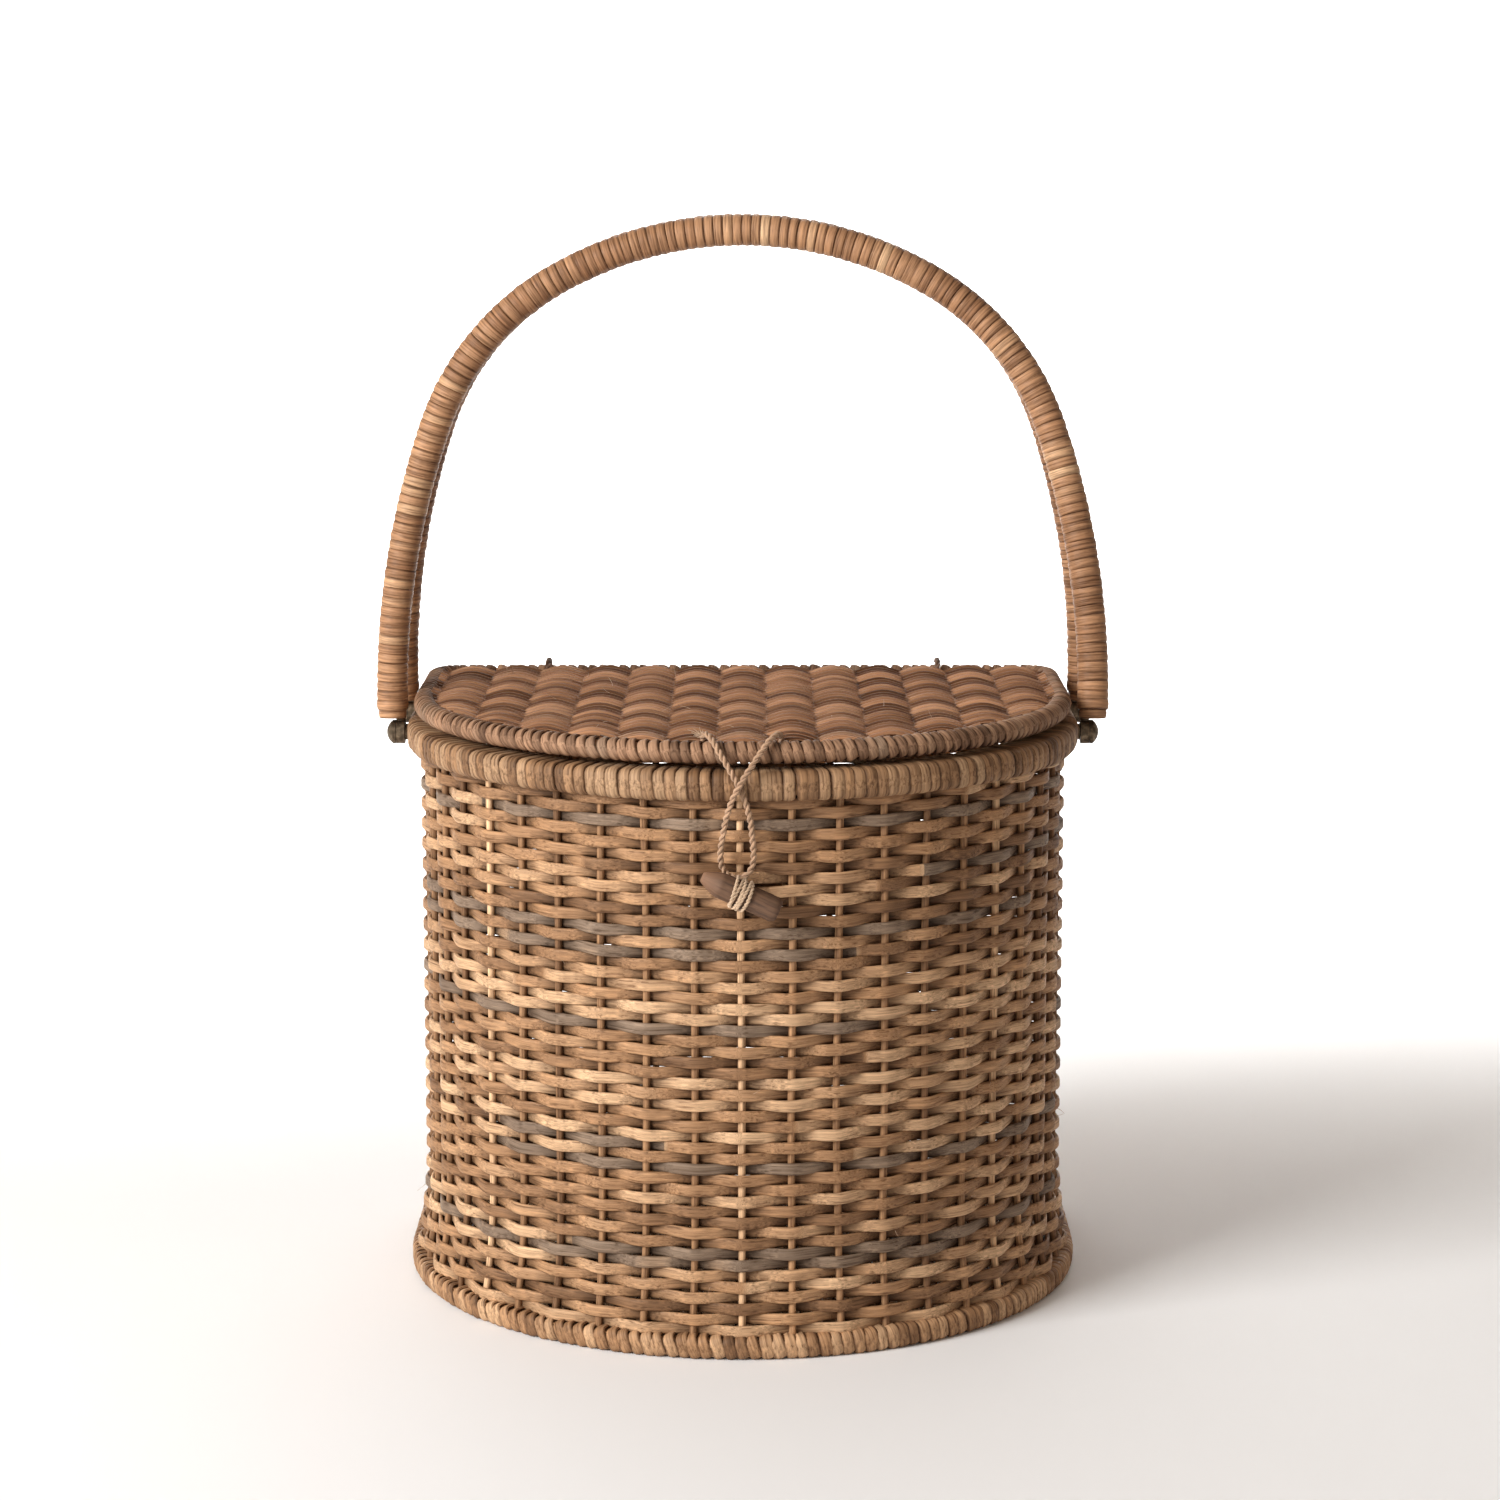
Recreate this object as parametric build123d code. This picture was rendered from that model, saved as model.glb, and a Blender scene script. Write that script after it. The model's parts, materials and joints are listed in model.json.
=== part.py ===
from build123d import *
import math
import os

# Lidded wicker basket on a D-shaped plan: a half circle in front, short
# straight sides and a flat back. All lengths are in millimetres. +Z is up, the
# basket's front faces -Y, and the origin is the centre of the bounding box, on
# the surface that the basket stands on.

# Plan, measured to the outer face of the rim
RIM_HALF_WIDTH = 165.0
SIDE_LENGTH = 67.0
BACK_CORNER_RADIUS = 22.0

# Heights above the surface that the basket stands on
FOOT_HEIGHT = 11.0
RIM_BOTTOM = 262.0
RIM_HEIGHT = 14.0
LID_GAP = 2.5
FLARE_TOP = 66.0

# Wall: upright stakes with a plain weave each side of them
STAKE_COUNT = 42
STAKE_DIAMETER = 4.0
WEAVE_DEPTH = 2.4
WALL_FLARE = 5.3
STAKE_CLEARANCE = 0.05
STAKE_FOOT_COVER = 4.0
STAKE_TOP_INSIDE_RIM = 1.6

# Rim: two flat hoops that clamp the top of the weave, bound with cane
RIM_WRAP_THICKNESS = 1.4
RIM_HOOP_THICKNESS = 4.0
RIM_HOOP_HEADROOM = 1.4
RIM_ROUNDING = 4.5
HOOP_CLEARANCE = 0.05

# Foot: a hoop bound with cane, with a flat underside
FOOT_WIDTH = 11.6
FOOT_WRAP_THICKNESS = 1.6
FOOT_ROUNDING = 2.5

# Base: a woven plate on sticks
BASE_UNDERSIDE = 4.0
BASE_THICKNESS = 5.0
BASE_STICK_DIAMETER = 3.0
BASE_STICK_SPACING = 24.0

# Lid: a bound hoop round a woven plate on ribs
LID_INSET = 3.4
LID_WRAP_DIAMETER = 10.5
LID_HOOP_DIAMETER = 7.0
LID_WEAVE_THICKNESS = 5.2
LID_WEAVE_BELOW_BORDER_TOP = 0.6
LID_RIB_DIAMETER = 3.0
LID_RIB_SPACING = 23.0
RIB_END_COVER = 6.0

# Hinge: twine rings round the back of the rim and of the lid
HINGE_RING_OFFSET = 100.0
HINGE_RING_DIAMETER = 3.0
HINGE_RING_GAP = 0.4
HINGE_SLOT_CLEARANCE = 0.8

# Handles: two bound hoops, each turning on two pins through the rim
FRONT_PIVOT_FROM_SIDE_START = 0.0
BACK_PIVOT_FROM_SIDE_END = 3.0
PIVOT_ABOVE_RIM_BOTTOM = 5.4
HANDLE_SIDE_CLEARANCE = 0.3
HANDLE_DIAMETER = 15.4
HANDLE_CORE_DIAMETER = 11.0
HANDLE_END_ABOVE_PIVOT = 6.8
HANDLE_ARCH_START = 19.8
ARCH_SIDE_ANGLE = 19.0
ARCH_SIDE_RADIUS = 400.8
ARCH_SHOULDER_RADIUS = 131.0
ARCH_SHOULDER_ANGLE = 41.0
HANDLE_END_ROUNDING = 1.9
END_ROUNDING_WALL_SHARE = 0.9
HANDLES_APART_AT_TOP = 0.5
EDGE_TOLERANCE = 0.01

# Pivots: a domed pin, an eye on the end of each handle leg, two washers
PIN_DIAMETER = 4.9
PIN_HEAD_DIAMETER = 11.8
PIN_HEAD_THICKNESS = 4.6
PIN_TAIL_DIAMETER = 7.0
PIN_TAIL_THICKNESS = 1.5
PIN_BORE_CLEARANCE = 0.05
EYE_DIAMETER = 11.8
EYE_THICKNESS = 4.2
EYE_NECK_DIAMETER = 4.6
EYE_TANG_THICKNESS = 2.6
EYE_TANG_WIDTH = 4.6
EYE_TANG_LENGTH = 16.0
WASHER_DIAMETER = 8.0
WASHER_THICKNESS = 1.3
PIVOT_SIDE_GAP = 0.25

# Closure: a wooden peg tied to the front stake, and a twine loop on the lid
TOGGLE_BELOW_RIM = 40.1
TOGGLE_SIDE_OFFSET = -0.8
TOGGLE_STANDOFF = 6.8
TOGGLE_DIAMETER = 12.0
TOGGLE_LENGTH = 38.0
TOGGLE_TAPER_LENGTH = 7.0
TOGGLE_TAPER_END_DIAMETER = 4.5
TOGGLE_BUTT_CHAMFER = 1.4
TOGGLE_TILT = 25.0
LASHING_WIDTH = 6.0
LASHING_THICKNESS = 1.2
TOGGLE_TIE_DIAMETER = 3.2
TOGGLE_TIE_GAP = 0.3
SLIT_HEIGHT = 3.4
SLIT_LENGTH = 19.0
TWINE_DIAMETER = 3.0
CORNER_SHARE = 0.45

# Worked out from the sizes above
WALL_HALF_THICKNESS = STAKE_DIAMETER / 2 + WEAVE_DEPTH
STAKE_HALF_WIDTH = RIM_HALF_WIDTH - RIM_WRAP_THICKNESS - RIM_HOOP_THICKNESS - WALL_HALF_THICKNESS
WALL_INSET = RIM_HALF_WIDTH - STAKE_HALF_WIDTH
WALL_FRONT = STAKE_HALF_WIDTH + WALL_HALF_THICKNESS
RIM_WIDTH = 2 * WALL_INSET
RIM_TOP = RIM_BOTTOM + RIM_HEIGHT
RIM_MIDDLE = RIM_BOTTOM + RIM_HEIGHT / 2
RIM_HOOP_HEIGHT = RIM_HEIGHT - 2 * RIM_WRAP_THICKNESS - 2 * RIM_HOOP_HEADROOM
FOOT_INSET = RIM_HALF_WIDTH - STAKE_HALF_WIDTH - WALL_FLARE
LID_TUBE_INSET = LID_INSET + LID_WRAP_DIAMETER / 2
LID_TUBE_HEIGHT = RIM_TOP + LID_GAP + LID_WRAP_DIAMETER / 2
LID_TOP = RIM_TOP + LID_GAP + LID_WRAP_DIAMETER
LID_WEAVE_TOP = LID_TOP - LID_WEAVE_BELOW_BORDER_TOP
BACK_REACH = SIDE_LENGTH + BACK_CORNER_RADIUS
TOGGLE_HEIGHT = RIM_BOTTOM - TOGGLE_BELOW_RIM
PEG_DISTANCE = WALL_FRONT + TOGGLE_STANDOFF + TOGGLE_DIAMETER / 2
FRONT_REACH = PEG_DISTANCE + TOGGLE_DIAMETER / 2 + LASHING_THICKNESS
HINGE_RING_REACH = HINGE_RING_GAP + HINGE_RING_DIAMETER
PLAN_Y = (FRONT_REACH - BACK_REACH - HINGE_RING_REACH) / 2
HINGE_Y = PLAN_Y + BACK_REACH - LID_TUBE_INSET
FRONT_PIVOT_Y = PLAN_Y + FRONT_PIVOT_FROM_SIDE_START
BACK_PIVOT_Y = PLAN_Y + SIDE_LENGTH - BACK_PIVOT_FROM_SIDE_END
PIVOT_HEIGHT = RIM_BOTTOM + PIVOT_ABOVE_RIM_BOTTOM
HANDLE_RADIUS = HANDLE_DIAMETER / 2
HANDLE_HALF_WIDTH = RIM_HALF_WIDTH + HANDLE_SIDE_CLEARANCE + HANDLE_RADIUS


def arch_crown_radius():
    """Radius of the arch's crown, so that the arch closes at its half width."""
    first = math.cos(math.radians(ARCH_SIDE_ANGLE))
    second = math.cos(math.radians(ARCH_SIDE_ANGLE + ARCH_SHOULDER_ANGLE))
    sides = ARCH_SIDE_RADIUS * (1 - first) + ARCH_SHOULDER_RADIUS * (first - second)
    return (HANDLE_HALF_WIDTH - sides) / second


def arch_height():
    """Height of the handle's centre line above its pivot, before it leans."""
    first = math.sin(math.radians(ARCH_SIDE_ANGLE))
    second = math.sin(math.radians(ARCH_SIDE_ANGLE + ARCH_SHOULDER_ANGLE))
    side = ARCH_SIDE_RADIUS * first
    shoulder = ARCH_SHOULDER_RADIUS * (second - first)
    crown = arch_crown_radius() * (1 - second)
    return HANDLE_ARCH_START + side + shoulder + crown


def handle_lean():
    """Angle at which the two hoops lean together, a little short of touching."""
    closing = (BACK_PIVOT_Y - FRONT_PIVOT_Y - HANDLE_DIAMETER - HANDLES_APART_AT_TOP) / 2
    return math.degrees(math.asin(closing / arch_height()))


def plan_wire(inset, height):
    """The D-shaped plan line, inset from the rim's outer face, at a height."""
    half = RIM_HALF_WIDTH - inset
    corner = BACK_CORNER_RADIUS - inset
    corner_x = RIM_HALF_WIDTH - BACK_CORNER_RADIUS
    side_end = PLAN_Y + SIDE_LENGTH
    back = side_end + corner
    edges = [
        CenterArc((0, PLAN_Y, height), half, -90, 90),
        Line((half, PLAN_Y, height), (half, side_end, height)),
        CenterArc((corner_x, side_end, height), corner, 0, 90),
        Line((corner_x, back, height), (-corner_x, back, height)),
        CenterArc((-corner_x, side_end, height), corner, 90, 90),
        Line((-half, side_end, height), (-half, PLAN_Y, height)),
        CenterArc((0, PLAN_Y, height), half, 180, 90),
    ]
    return Wire(edges)


def plan_section_plane(inset, height):
    """Plane across the plan line at the front: local x inwards, local y up."""
    front = (0, PLAN_Y - RIM_HALF_WIDTH + inset, height)
    return Plane(origin=front, x_dir=(0, 1, 0), z_dir=(1, 0, 0))


def plan_sweep(section, inset, height):
    """A section carried round the plan line."""
    placed = plan_section_plane(inset, height) * section
    return sweep(placed, path=plan_wire(inset, height))


def plan_plate(inset, bottom, thickness):
    """A flat plate with the plan's outline."""
    return extrude(make_face(plan_wire(inset, bottom)), thickness, dir=(0, 0, 1))


def plan_stations():
    """Where the stakes stand: a point on the stake line and its outward direction."""
    line = plan_wire(WALL_INSET, 0)
    stations = []
    for number in range(STAKE_COUNT):
        share = number / STAKE_COUNT
        point = line.position_at(share)
        along = line.tangent_at(share)
        stations.append((point, Vector(along.Y, -along.X, 0)))
    return stations


def flare_radius():
    """Radius of the curve by which the wall flares out towards the foot."""
    drop = FLARE_TOP - FOOT_HEIGHT
    return (drop ** 2 + WALL_FLARE ** 2) / (2 * WALL_FLARE)


def stake_rods(diameter, bottom, top):
    """One upright rod at every station, following the flare of the wall."""
    radius = flare_radius()
    turn = math.asin((FLARE_TOP - FOOT_HEIGHT) / radius)
    rods = []
    for point, outward in plan_stations():
        plane = Plane(origin=(point.X, point.Y, 0), x_dir=outward, z_dir=outward.cross(Vector(0, 0, 1)))
        below = FOOT_HEIGHT - bottom
        arc_end = (WALL_FLARE, FOOT_HEIGHT)
        arc_middle = (radius * (1 - math.cos(turn / 2)), FLARE_TOP - radius * math.sin(turn / 2))
        tail_end = (WALL_FLARE + below * math.tan(turn), bottom)
        path = Wire([
            Line((0, top), (0, FLARE_TOP)),
            ThreePointArc((0, FLARE_TOP), arc_middle, arc_end),
            Line(arc_end, tail_end),
        ])
        start = Plane(origin=(point.X, point.Y, top), z_dir=(0, 0, -1))
        rods.append(sweep(start * Circle(diameter / 2), path=plane * path))
    return rods


def wall_section(bottom, top):
    """Section of the woven wall, upright above and flared towards the foot."""
    radius = flare_radius()
    faces = []
    for offset in (-WALL_HALF_THICKNESS, WALL_HALF_THICKNESS):
        reach = radius + offset
        low_turn = math.asin((FLARE_TOP - bottom) / reach)
        middle = (-radius + reach * math.cos(low_turn / 2), FLARE_TOP - reach * math.sin(low_turn / 2))
        low = (-radius + reach * math.cos(low_turn), bottom)
        faces.append((offset, middle, low))
    outer, inner = faces
    outline = Wire([
        Line((outer[0], top), (outer[0], FLARE_TOP)),
        ThreePointArc((outer[0], FLARE_TOP), outer[1], outer[2]),
        Line(outer[2], inner[2]),
        ThreePointArc(inner[2], inner[1], (inner[0], FLARE_TOP)),
        Line((inner[0], FLARE_TOP), (inner[0], top)),
        Line((inner[0], top), (outer[0], top)),
    ])
    return make_face(outline)


def pivot_bores(diameter, inner_x, outer_x):
    """Cylinders across the rim on the four pivot axes."""
    bores = []
    for side in (-1, 1):
        for pivot_y in (FRONT_PIVOT_Y, BACK_PIVOT_Y):
            middle = side * (inner_x + outer_x) / 2
            place = Pos(middle, pivot_y, PIVOT_HEIGHT) * Rot(0, 90, 0)
            bores.append(place * Cylinder(diameter / 2, outer_x - inner_x))
    return bores


def hinge_ring_path(offset_x):
    """Closed line of a hinge ring: round the lid's back hoop, the rim and under it."""
    reach = HINGE_RING_GAP + HINGE_RING_DIAMETER / 2
    top_radius = LID_WRAP_DIAMETER / 2 + reach
    back = PLAN_Y + BACK_REACH + reach
    front = PLAN_Y + BACK_REACH - RIM_WIDTH - reach
    low = RIM_BOTTOM - reach
    corners = [
        (offset_x, HINGE_Y + top_radius, LID_TUBE_HEIGHT + top_radius),
        (offset_x, HINGE_Y - top_radius, LID_TUBE_HEIGHT + top_radius),
        (offset_x, front, RIM_TOP),
        (offset_x, front, low),
        (offset_x, back, low),
        (offset_x, back, RIM_TOP),
    ]
    return FilletPolyline(*corners, radius=HINGE_RING_DIAMETER, close=True)


def hinge_slot_reach(height):
    """How far before the hinge a ring's front run lies at a height, with its clearance."""
    reach = HINGE_RING_GAP + HINGE_RING_DIAMETER / 2
    rise = LID_TUBE_HEIGHT + LID_WRAP_DIAMETER / 2 + reach - RIM_TOP
    top = LID_WRAP_DIAMETER / 2 + reach
    low = HINGE_Y - (PLAN_Y + BACK_REACH - RIM_WIDTH - reach)
    run = low + (top - low) * (height - RIM_TOP) / rise
    slope = math.atan((low - top) / rise)
    return run + HINGE_RING_DIAMETER / 2 / math.cos(slope) + HINGE_SLOT_CLEARANCE


def hinge_ring(offset_x):
    """One twine ring of the hinge."""
    path = hinge_ring_path(offset_x)
    start = Plane(origin=path @ 0, z_dir=path % 0)
    return sweep(start * Circle(HINGE_RING_DIAMETER / 2), path=path)


def hinge_ring_passages(low, high, y_near, y_far):
    """Slots that let the two hinge rings through a woven piece."""
    width = HINGE_RING_DIAMETER + 2 * HINGE_SLOT_CLEARANCE
    slots = []
    for side in (-1, 1):
        middle = Pos(side * HINGE_RING_OFFSET, (y_near + y_far) / 2, (low + high) / 2)
        slots.append(middle * Box(width, y_far - y_near, high - low))
    return slots


def make_base_sticks():
    """Straight sticks across the base, from side to side."""
    height = BASE_UNDERSIDE + BASE_THICKNESS / 2
    half_width = RIM_HALF_WIDTH - FOOT_INSET - FOOT_WIDTH / 2
    room = plan_plate(RIM_HALF_WIDTH - half_width + BASE_STICK_DIAMETER, BASE_UNDERSIDE, BASE_THICKNESS)
    sticks = []
    back = PLAN_Y + BACK_REACH - FOOT_INSET - FOOT_WIDTH / 2
    position = back - BASE_STICK_SPACING / 2
    front = PLAN_Y - half_width + BASE_STICK_SPACING / 2
    while position > front:
        rod = Pos(0, position, height) * Rot(0, 90, 0) * Cylinder(BASE_STICK_DIAMETER / 2, 2 * half_width)
        sticks.append(rod & room)
        position -= BASE_STICK_SPACING
    return sticks


def make_base_weave(sticks):
    """The woven base plate, which fills the foot from side to side."""
    inset = FOOT_INSET + FOOT_WIDTH / 2
    return plan_plate(inset, BASE_UNDERSIDE, BASE_THICKNESS) - sticks


def make_foot(stake_pockets):
    """The foot's hoop and the cane binding round it."""
    height = FOOT_HEIGHT / 2
    inner_width = FOOT_WIDTH - 2 * FOOT_WRAP_THICKNESS
    inner_height = FOOT_HEIGHT - 2 * FOOT_WRAP_THICKNESS
    wrap_section = RectangleRounded(FOOT_WIDTH, FOOT_HEIGHT, FOOT_ROUNDING)
    wrap_section -= Rectangle(inner_width, inner_height)
    hoop_section = Rectangle(inner_width - HOOP_CLEARANCE, inner_height - HOOP_CLEARANCE)
    wrap = plan_sweep(wrap_section, FOOT_INSET, height) - stake_pockets
    hoop = plan_sweep(hoop_section, FOOT_INSET, height) - stake_pockets
    return hoop, wrap


def make_wall(stake_pockets):
    """The woven wall, from the foot up into the rim."""
    top = RIM_TOP - RIM_WRAP_THICKNESS - HOOP_CLEARANCE
    wall = plan_sweep(wall_section(FOOT_HEIGHT, top), WALL_INSET, 0)
    inner_x = STAKE_HALF_WIDTH - 2 * WALL_HALF_THICKNESS
    outer_x = STAKE_HALF_WIDTH + 2 * WALL_HALF_THICKNESS
    wall -= stake_pockets
    wall -= pivot_bores(PIN_DIAMETER + 2 * PIN_BORE_CLEARANCE, inner_x, outer_x)
    ring_width = HINGE_RING_GAP + HINGE_RING_DIAMETER + HINGE_SLOT_CLEARANCE
    back = PLAN_Y + BACK_REACH
    wall -= hinge_ring_passages(RIM_BOTTOM - ring_width, RIM_BOTTOM, back - RIM_WIDTH, back)
    wall_y = PLAN_Y - STAKE_HALF_WIDTH
    tie_hole = Pos(TOGGLE_SIDE_OFFSET, wall_y - WALL_HALF_THICKNESS, TOGGLE_HEIGHT) * Rot(90, 0, 0)
    wall -= tie_hole * Cylinder(TOGGLE_TIE_DIAMETER / 2 + STAKE_CLEARANCE, 2 * WALL_HALF_THICKNESS)
    for side in (-1, 1):
        middle_x = side * (STAKE_DIAMETER + SLIT_LENGTH / 2)
        slit = Box(SLIT_LENGTH, 4 * WALL_HALF_THICKNESS, SLIT_HEIGHT)
        wall -= Pos(middle_x, wall_y, TOGGLE_HEIGHT) * slit
    return wall


def make_rim():
    """The rim: an outer hoop, an inner hoop and the cane binding round both."""
    inner_width = RIM_WIDTH - 2 * RIM_WRAP_THICKNESS
    inner_height = RIM_HEIGHT - 2 * RIM_WRAP_THICKNESS
    wrap_section = RectangleRounded(RIM_WIDTH, RIM_HEIGHT, RIM_ROUNDING)
    wrap_section -= RectangleRounded(inner_width, inner_height, RIM_ROUNDING - RIM_WRAP_THICKNESS)
    wrap = plan_sweep(wrap_section, WALL_INSET, RIM_MIDDLE)
    wrap -= plan_sweep(Rectangle(2 * WALL_HALF_THICKNESS, RIM_HEIGHT), WALL_INSET, RIM_BOTTOM)
    hoops = []
    for side in (-1, 1):
        thickness = RIM_HOOP_THICKNESS - 2 * HOOP_CLEARANCE
        offset = side * (WALL_HALF_THICKNESS + RIM_HOOP_THICKNESS / 2)
        section = RectangleRounded(thickness, RIM_HOOP_HEIGHT, thickness / 2 - HOOP_CLEARANCE)
        hoops.append(plan_sweep(section, WALL_INSET + offset, RIM_MIDDLE))
    inner_x = RIM_HALF_WIDTH - 2 * RIM_WIDTH
    bores = pivot_bores(PIN_DIAMETER + 2 * PIN_BORE_CLEARANCE, inner_x, RIM_HALF_WIDTH + RIM_WIDTH)
    wrap -= bores
    inner_hoop, outer_hoop = [hoop - bores for hoop in reversed(hoops)]
    return outer_hoop, inner_hoop, wrap


def eye_inner_x():
    """Distance from the centre plane to the inner face of a handle's eye."""
    return RIM_HALF_WIDTH + WASHER_THICKNESS + 2 * PIVOT_SIDE_GAP


def make_pin(side, pivot_y):
    """A domed pin: shank through eye, washers and rim, riveted over inside."""
    head_x = eye_inner_x() + EYE_THICKNESS + PIVOT_SIDE_GAP
    tail_x = RIM_HALF_WIDTH - RIM_WIDTH - WASHER_THICKNESS - 2 * PIVOT_SIDE_GAP
    shank = PIN_DIAMETER / 2
    head = PIN_HEAD_DIAMETER / 2
    rim_of_head = PIN_HEAD_THICKNESS / 3
    top = head_x + PIN_HEAD_THICKNESS
    dome = PIN_HEAD_THICKNESS - rim_of_head
    dome_radius = (head ** 2 + dome ** 2) / (2 * dome)
    half_turn = math.asin(head / dome_radius) / 2
    dome_middle = (dome_radius * math.sin(half_turn), top - dome_radius * (1 - math.cos(half_turn)))
    profile = Wire([
        Line((0, tail_x - PIN_TAIL_THICKNESS), (PIN_TAIL_DIAMETER / 2, tail_x - PIN_TAIL_THICKNESS)),
        Line((PIN_TAIL_DIAMETER / 2, tail_x - PIN_TAIL_THICKNESS), (PIN_TAIL_DIAMETER / 2, tail_x)),
        Line((PIN_TAIL_DIAMETER / 2, tail_x), (shank, tail_x)),
        Line((shank, tail_x), (shank, head_x)),
        Line((shank, head_x), (head, head_x)),
        Line((head, head_x), (head, head_x + rim_of_head)),
        ThreePointArc((head, head_x + rim_of_head), dome_middle, (0, top)),
        Line((0, top), (0, tail_x - PIN_TAIL_THICKNESS)),
    ])
    solid = revolve(Plane.XZ * make_face(profile), axis=Axis.Z)
    return Pos(0, pivot_y, PIVOT_HEIGHT) * Rot(0, side * 90, 0) * solid


def make_washers():
    """Outer and inner washers of the four pivots, as one group."""
    washers = []
    outer_x = RIM_HALF_WIDTH + PIVOT_SIDE_GAP + WASHER_THICKNESS / 2
    inner_x = RIM_HALF_WIDTH - RIM_WIDTH - PIVOT_SIDE_GAP - WASHER_THICKNESS / 2
    ring = Cylinder(WASHER_DIAMETER / 2, WASHER_THICKNESS)
    ring -= Cylinder(PIN_DIAMETER / 2 + PIN_BORE_CLEARANCE, 2 * WASHER_THICKNESS)
    for side in (-1, 1):
        for pivot_y in (FRONT_PIVOT_Y, BACK_PIVOT_Y):
            for distance in (outer_x, inner_x):
                washers.append(Pos(side * distance, pivot_y, PIVOT_HEIGHT) * Rot(0, 90, 0) * ring)
    return washers


def make_toggle_tie():
    """The twine tie that holds the toggle to the front stake."""
    back = PLAN_Y - STAKE_HALF_WIDTH - STAKE_DIAMETER / 2 - STAKE_CLEARANCE
    front = PLAN_Y - PEG_DISTANCE + TOGGLE_DIAMETER / 2 + LASHING_THICKNESS + TOGGLE_TIE_GAP
    place = Pos(TOGGLE_SIDE_OFFSET, (front + back) / 2, TOGGLE_HEIGHT) * Rot(90, 0, 0)
    return place * Cylinder(TOGGLE_TIE_DIAMETER / 2, back - front)


def toggle_place():
    """Where the toggle lies: its middle, with its length along local Z."""
    place = Pos(TOGGLE_SIDE_OFFSET, PLAN_Y - PEG_DISTANCE, TOGGLE_HEIGHT)
    return place * Rot(0, TOGGLE_TILT - 90, 0)


def make_toggle_peg():
    """A wooden peg, whittled to a taper at one end and chamfered at the other."""
    body_length = TOGGLE_LENGTH - TOGGLE_TAPER_LENGTH
    radius = TOGGLE_DIAMETER / 2
    butt = -TOGGLE_LENGTH / 2
    profile = Polyline(
        (0, butt),
        (radius - TOGGLE_BUTT_CHAMFER, butt),
        (radius, butt + TOGGLE_BUTT_CHAMFER),
        (radius, butt + body_length),
        (TOGGLE_TAPER_END_DIAMETER / 2, butt + TOGGLE_LENGTH),
        (0, butt + TOGGLE_LENGTH),
        close=True,
    )
    return toggle_place() * revolve(Plane.XZ * make_face(profile), axis=Axis.Z)


def make_toggle_lashing():
    """The turns of twine round the middle of the peg, as one band."""
    outer = TOGGLE_DIAMETER / 2 + LASHING_THICKNESS
    inner = TOGGLE_DIAMETER / 2 + STAKE_CLEARANCE
    band = Cylinder(outer, LASHING_WIDTH) - Cylinder(inner, 2 * LASHING_WIDTH)
    return toggle_place() * band


def make_lid_border():
    """The lid's hoop and the cane binding round it."""
    hoop = plan_sweep(Circle(LID_HOOP_DIAMETER / 2), LID_TUBE_INSET, LID_TUBE_HEIGHT)
    wrap_section = Circle(LID_WRAP_DIAMETER / 2) - Circle(LID_HOOP_DIAMETER / 2 + HOOP_CLEARANCE)
    wrap = plan_sweep(wrap_section, LID_TUBE_INSET, LID_TUBE_HEIGHT)
    return hoop, wrap


def make_lid_ribs():
    """Ribs under the lid's weave, from front to back."""
    height = LID_WEAVE_TOP - LID_WEAVE_THICKNESS / 2
    inset = LID_INSET + LID_WRAP_DIAMETER + RIB_END_COVER
    room = plan_plate(inset, height - LID_RIB_DIAMETER, 2 * LID_RIB_DIAMETER)
    count = int(RIM_HALF_WIDTH / LID_RIB_SPACING)
    ribs = []
    for number in range(-count + 1, count):
        length = 2 * (RIM_HALF_WIDTH + BACK_REACH)
        rod = Pos(number * LID_RIB_SPACING, PLAN_Y, height) * Rot(90, 0, 0)
        ribs.append((rod * Cylinder(LID_RIB_DIAMETER / 2, length)) & room)
    return ribs


def make_lid_weave(ribs):
    """The lid's woven plate, seated against its border, with the hinge slots."""
    bottom = LID_WEAVE_TOP - LID_WEAVE_THICKNESS
    plate = plan_plate(LID_TUBE_INSET, bottom, LID_WEAVE_THICKNESS)
    border_room = Circle(LID_WRAP_DIAMETER / 2 + HOOP_CLEARANCE)
    plate -= plan_sweep(border_room, LID_TUBE_INSET, LID_TUBE_HEIGHT)
    plate -= ribs
    low = bottom - LID_WEAVE_THICKNESS
    high = LID_WEAVE_TOP + LID_WEAVE_THICKNESS
    plate -= hinge_ring_passages(low, high, HINGE_Y - hinge_slot_reach(bottom), HINGE_Y)
    return plate


# Route of the closure twine, measured from the middle of the plan's half
# circle: out of the lid on the right, down across the front of the rim, round
# behind the peg, and back up and over into the lid on the left.
CLOSURE_ROUTE = [
    (18.0, -148.6, 287.4),
    (17.4, -150.9, 291.4),
    (15.8, -156.0, 292.1),
    (12.6, -161.2, 290.4),
    (8.4, -164.8, 285.2),
    (4.2, -167.6, 279.2),
    (0.2, -169.9, 273.2),
    (-3.6, -170.2, 266.6),
    (-6.6, -168.8, 258.4),
    (-8.4, -166.6, 249.4),
    (-9.8, -164.4, 240.8),
    (-9.7, -162.7, 233.2),
    (-6.6, -162.2, 228.2),
    (-1.2, -162.0, 226.6),
    (3.4, -162.2, 229.2),
    (5.4, -163.0, 235.0),
    (4.9, -164.4, 244.0),
    (4.0, -166.0, 253.6),
    (1.9, -167.2, 262.4),
    (-1.4, -167.0, 270.0),
    (-5.2, -166.7, 277.0),
    (-9.2, -164.9, 283.4),
    (-12.6, -161.4, 289.2),
    (-15.6, -156.6, 292.2),
    (-17.6, -151.2, 291.6),
    (-18.4, -148.6, 287.4),
]


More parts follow.
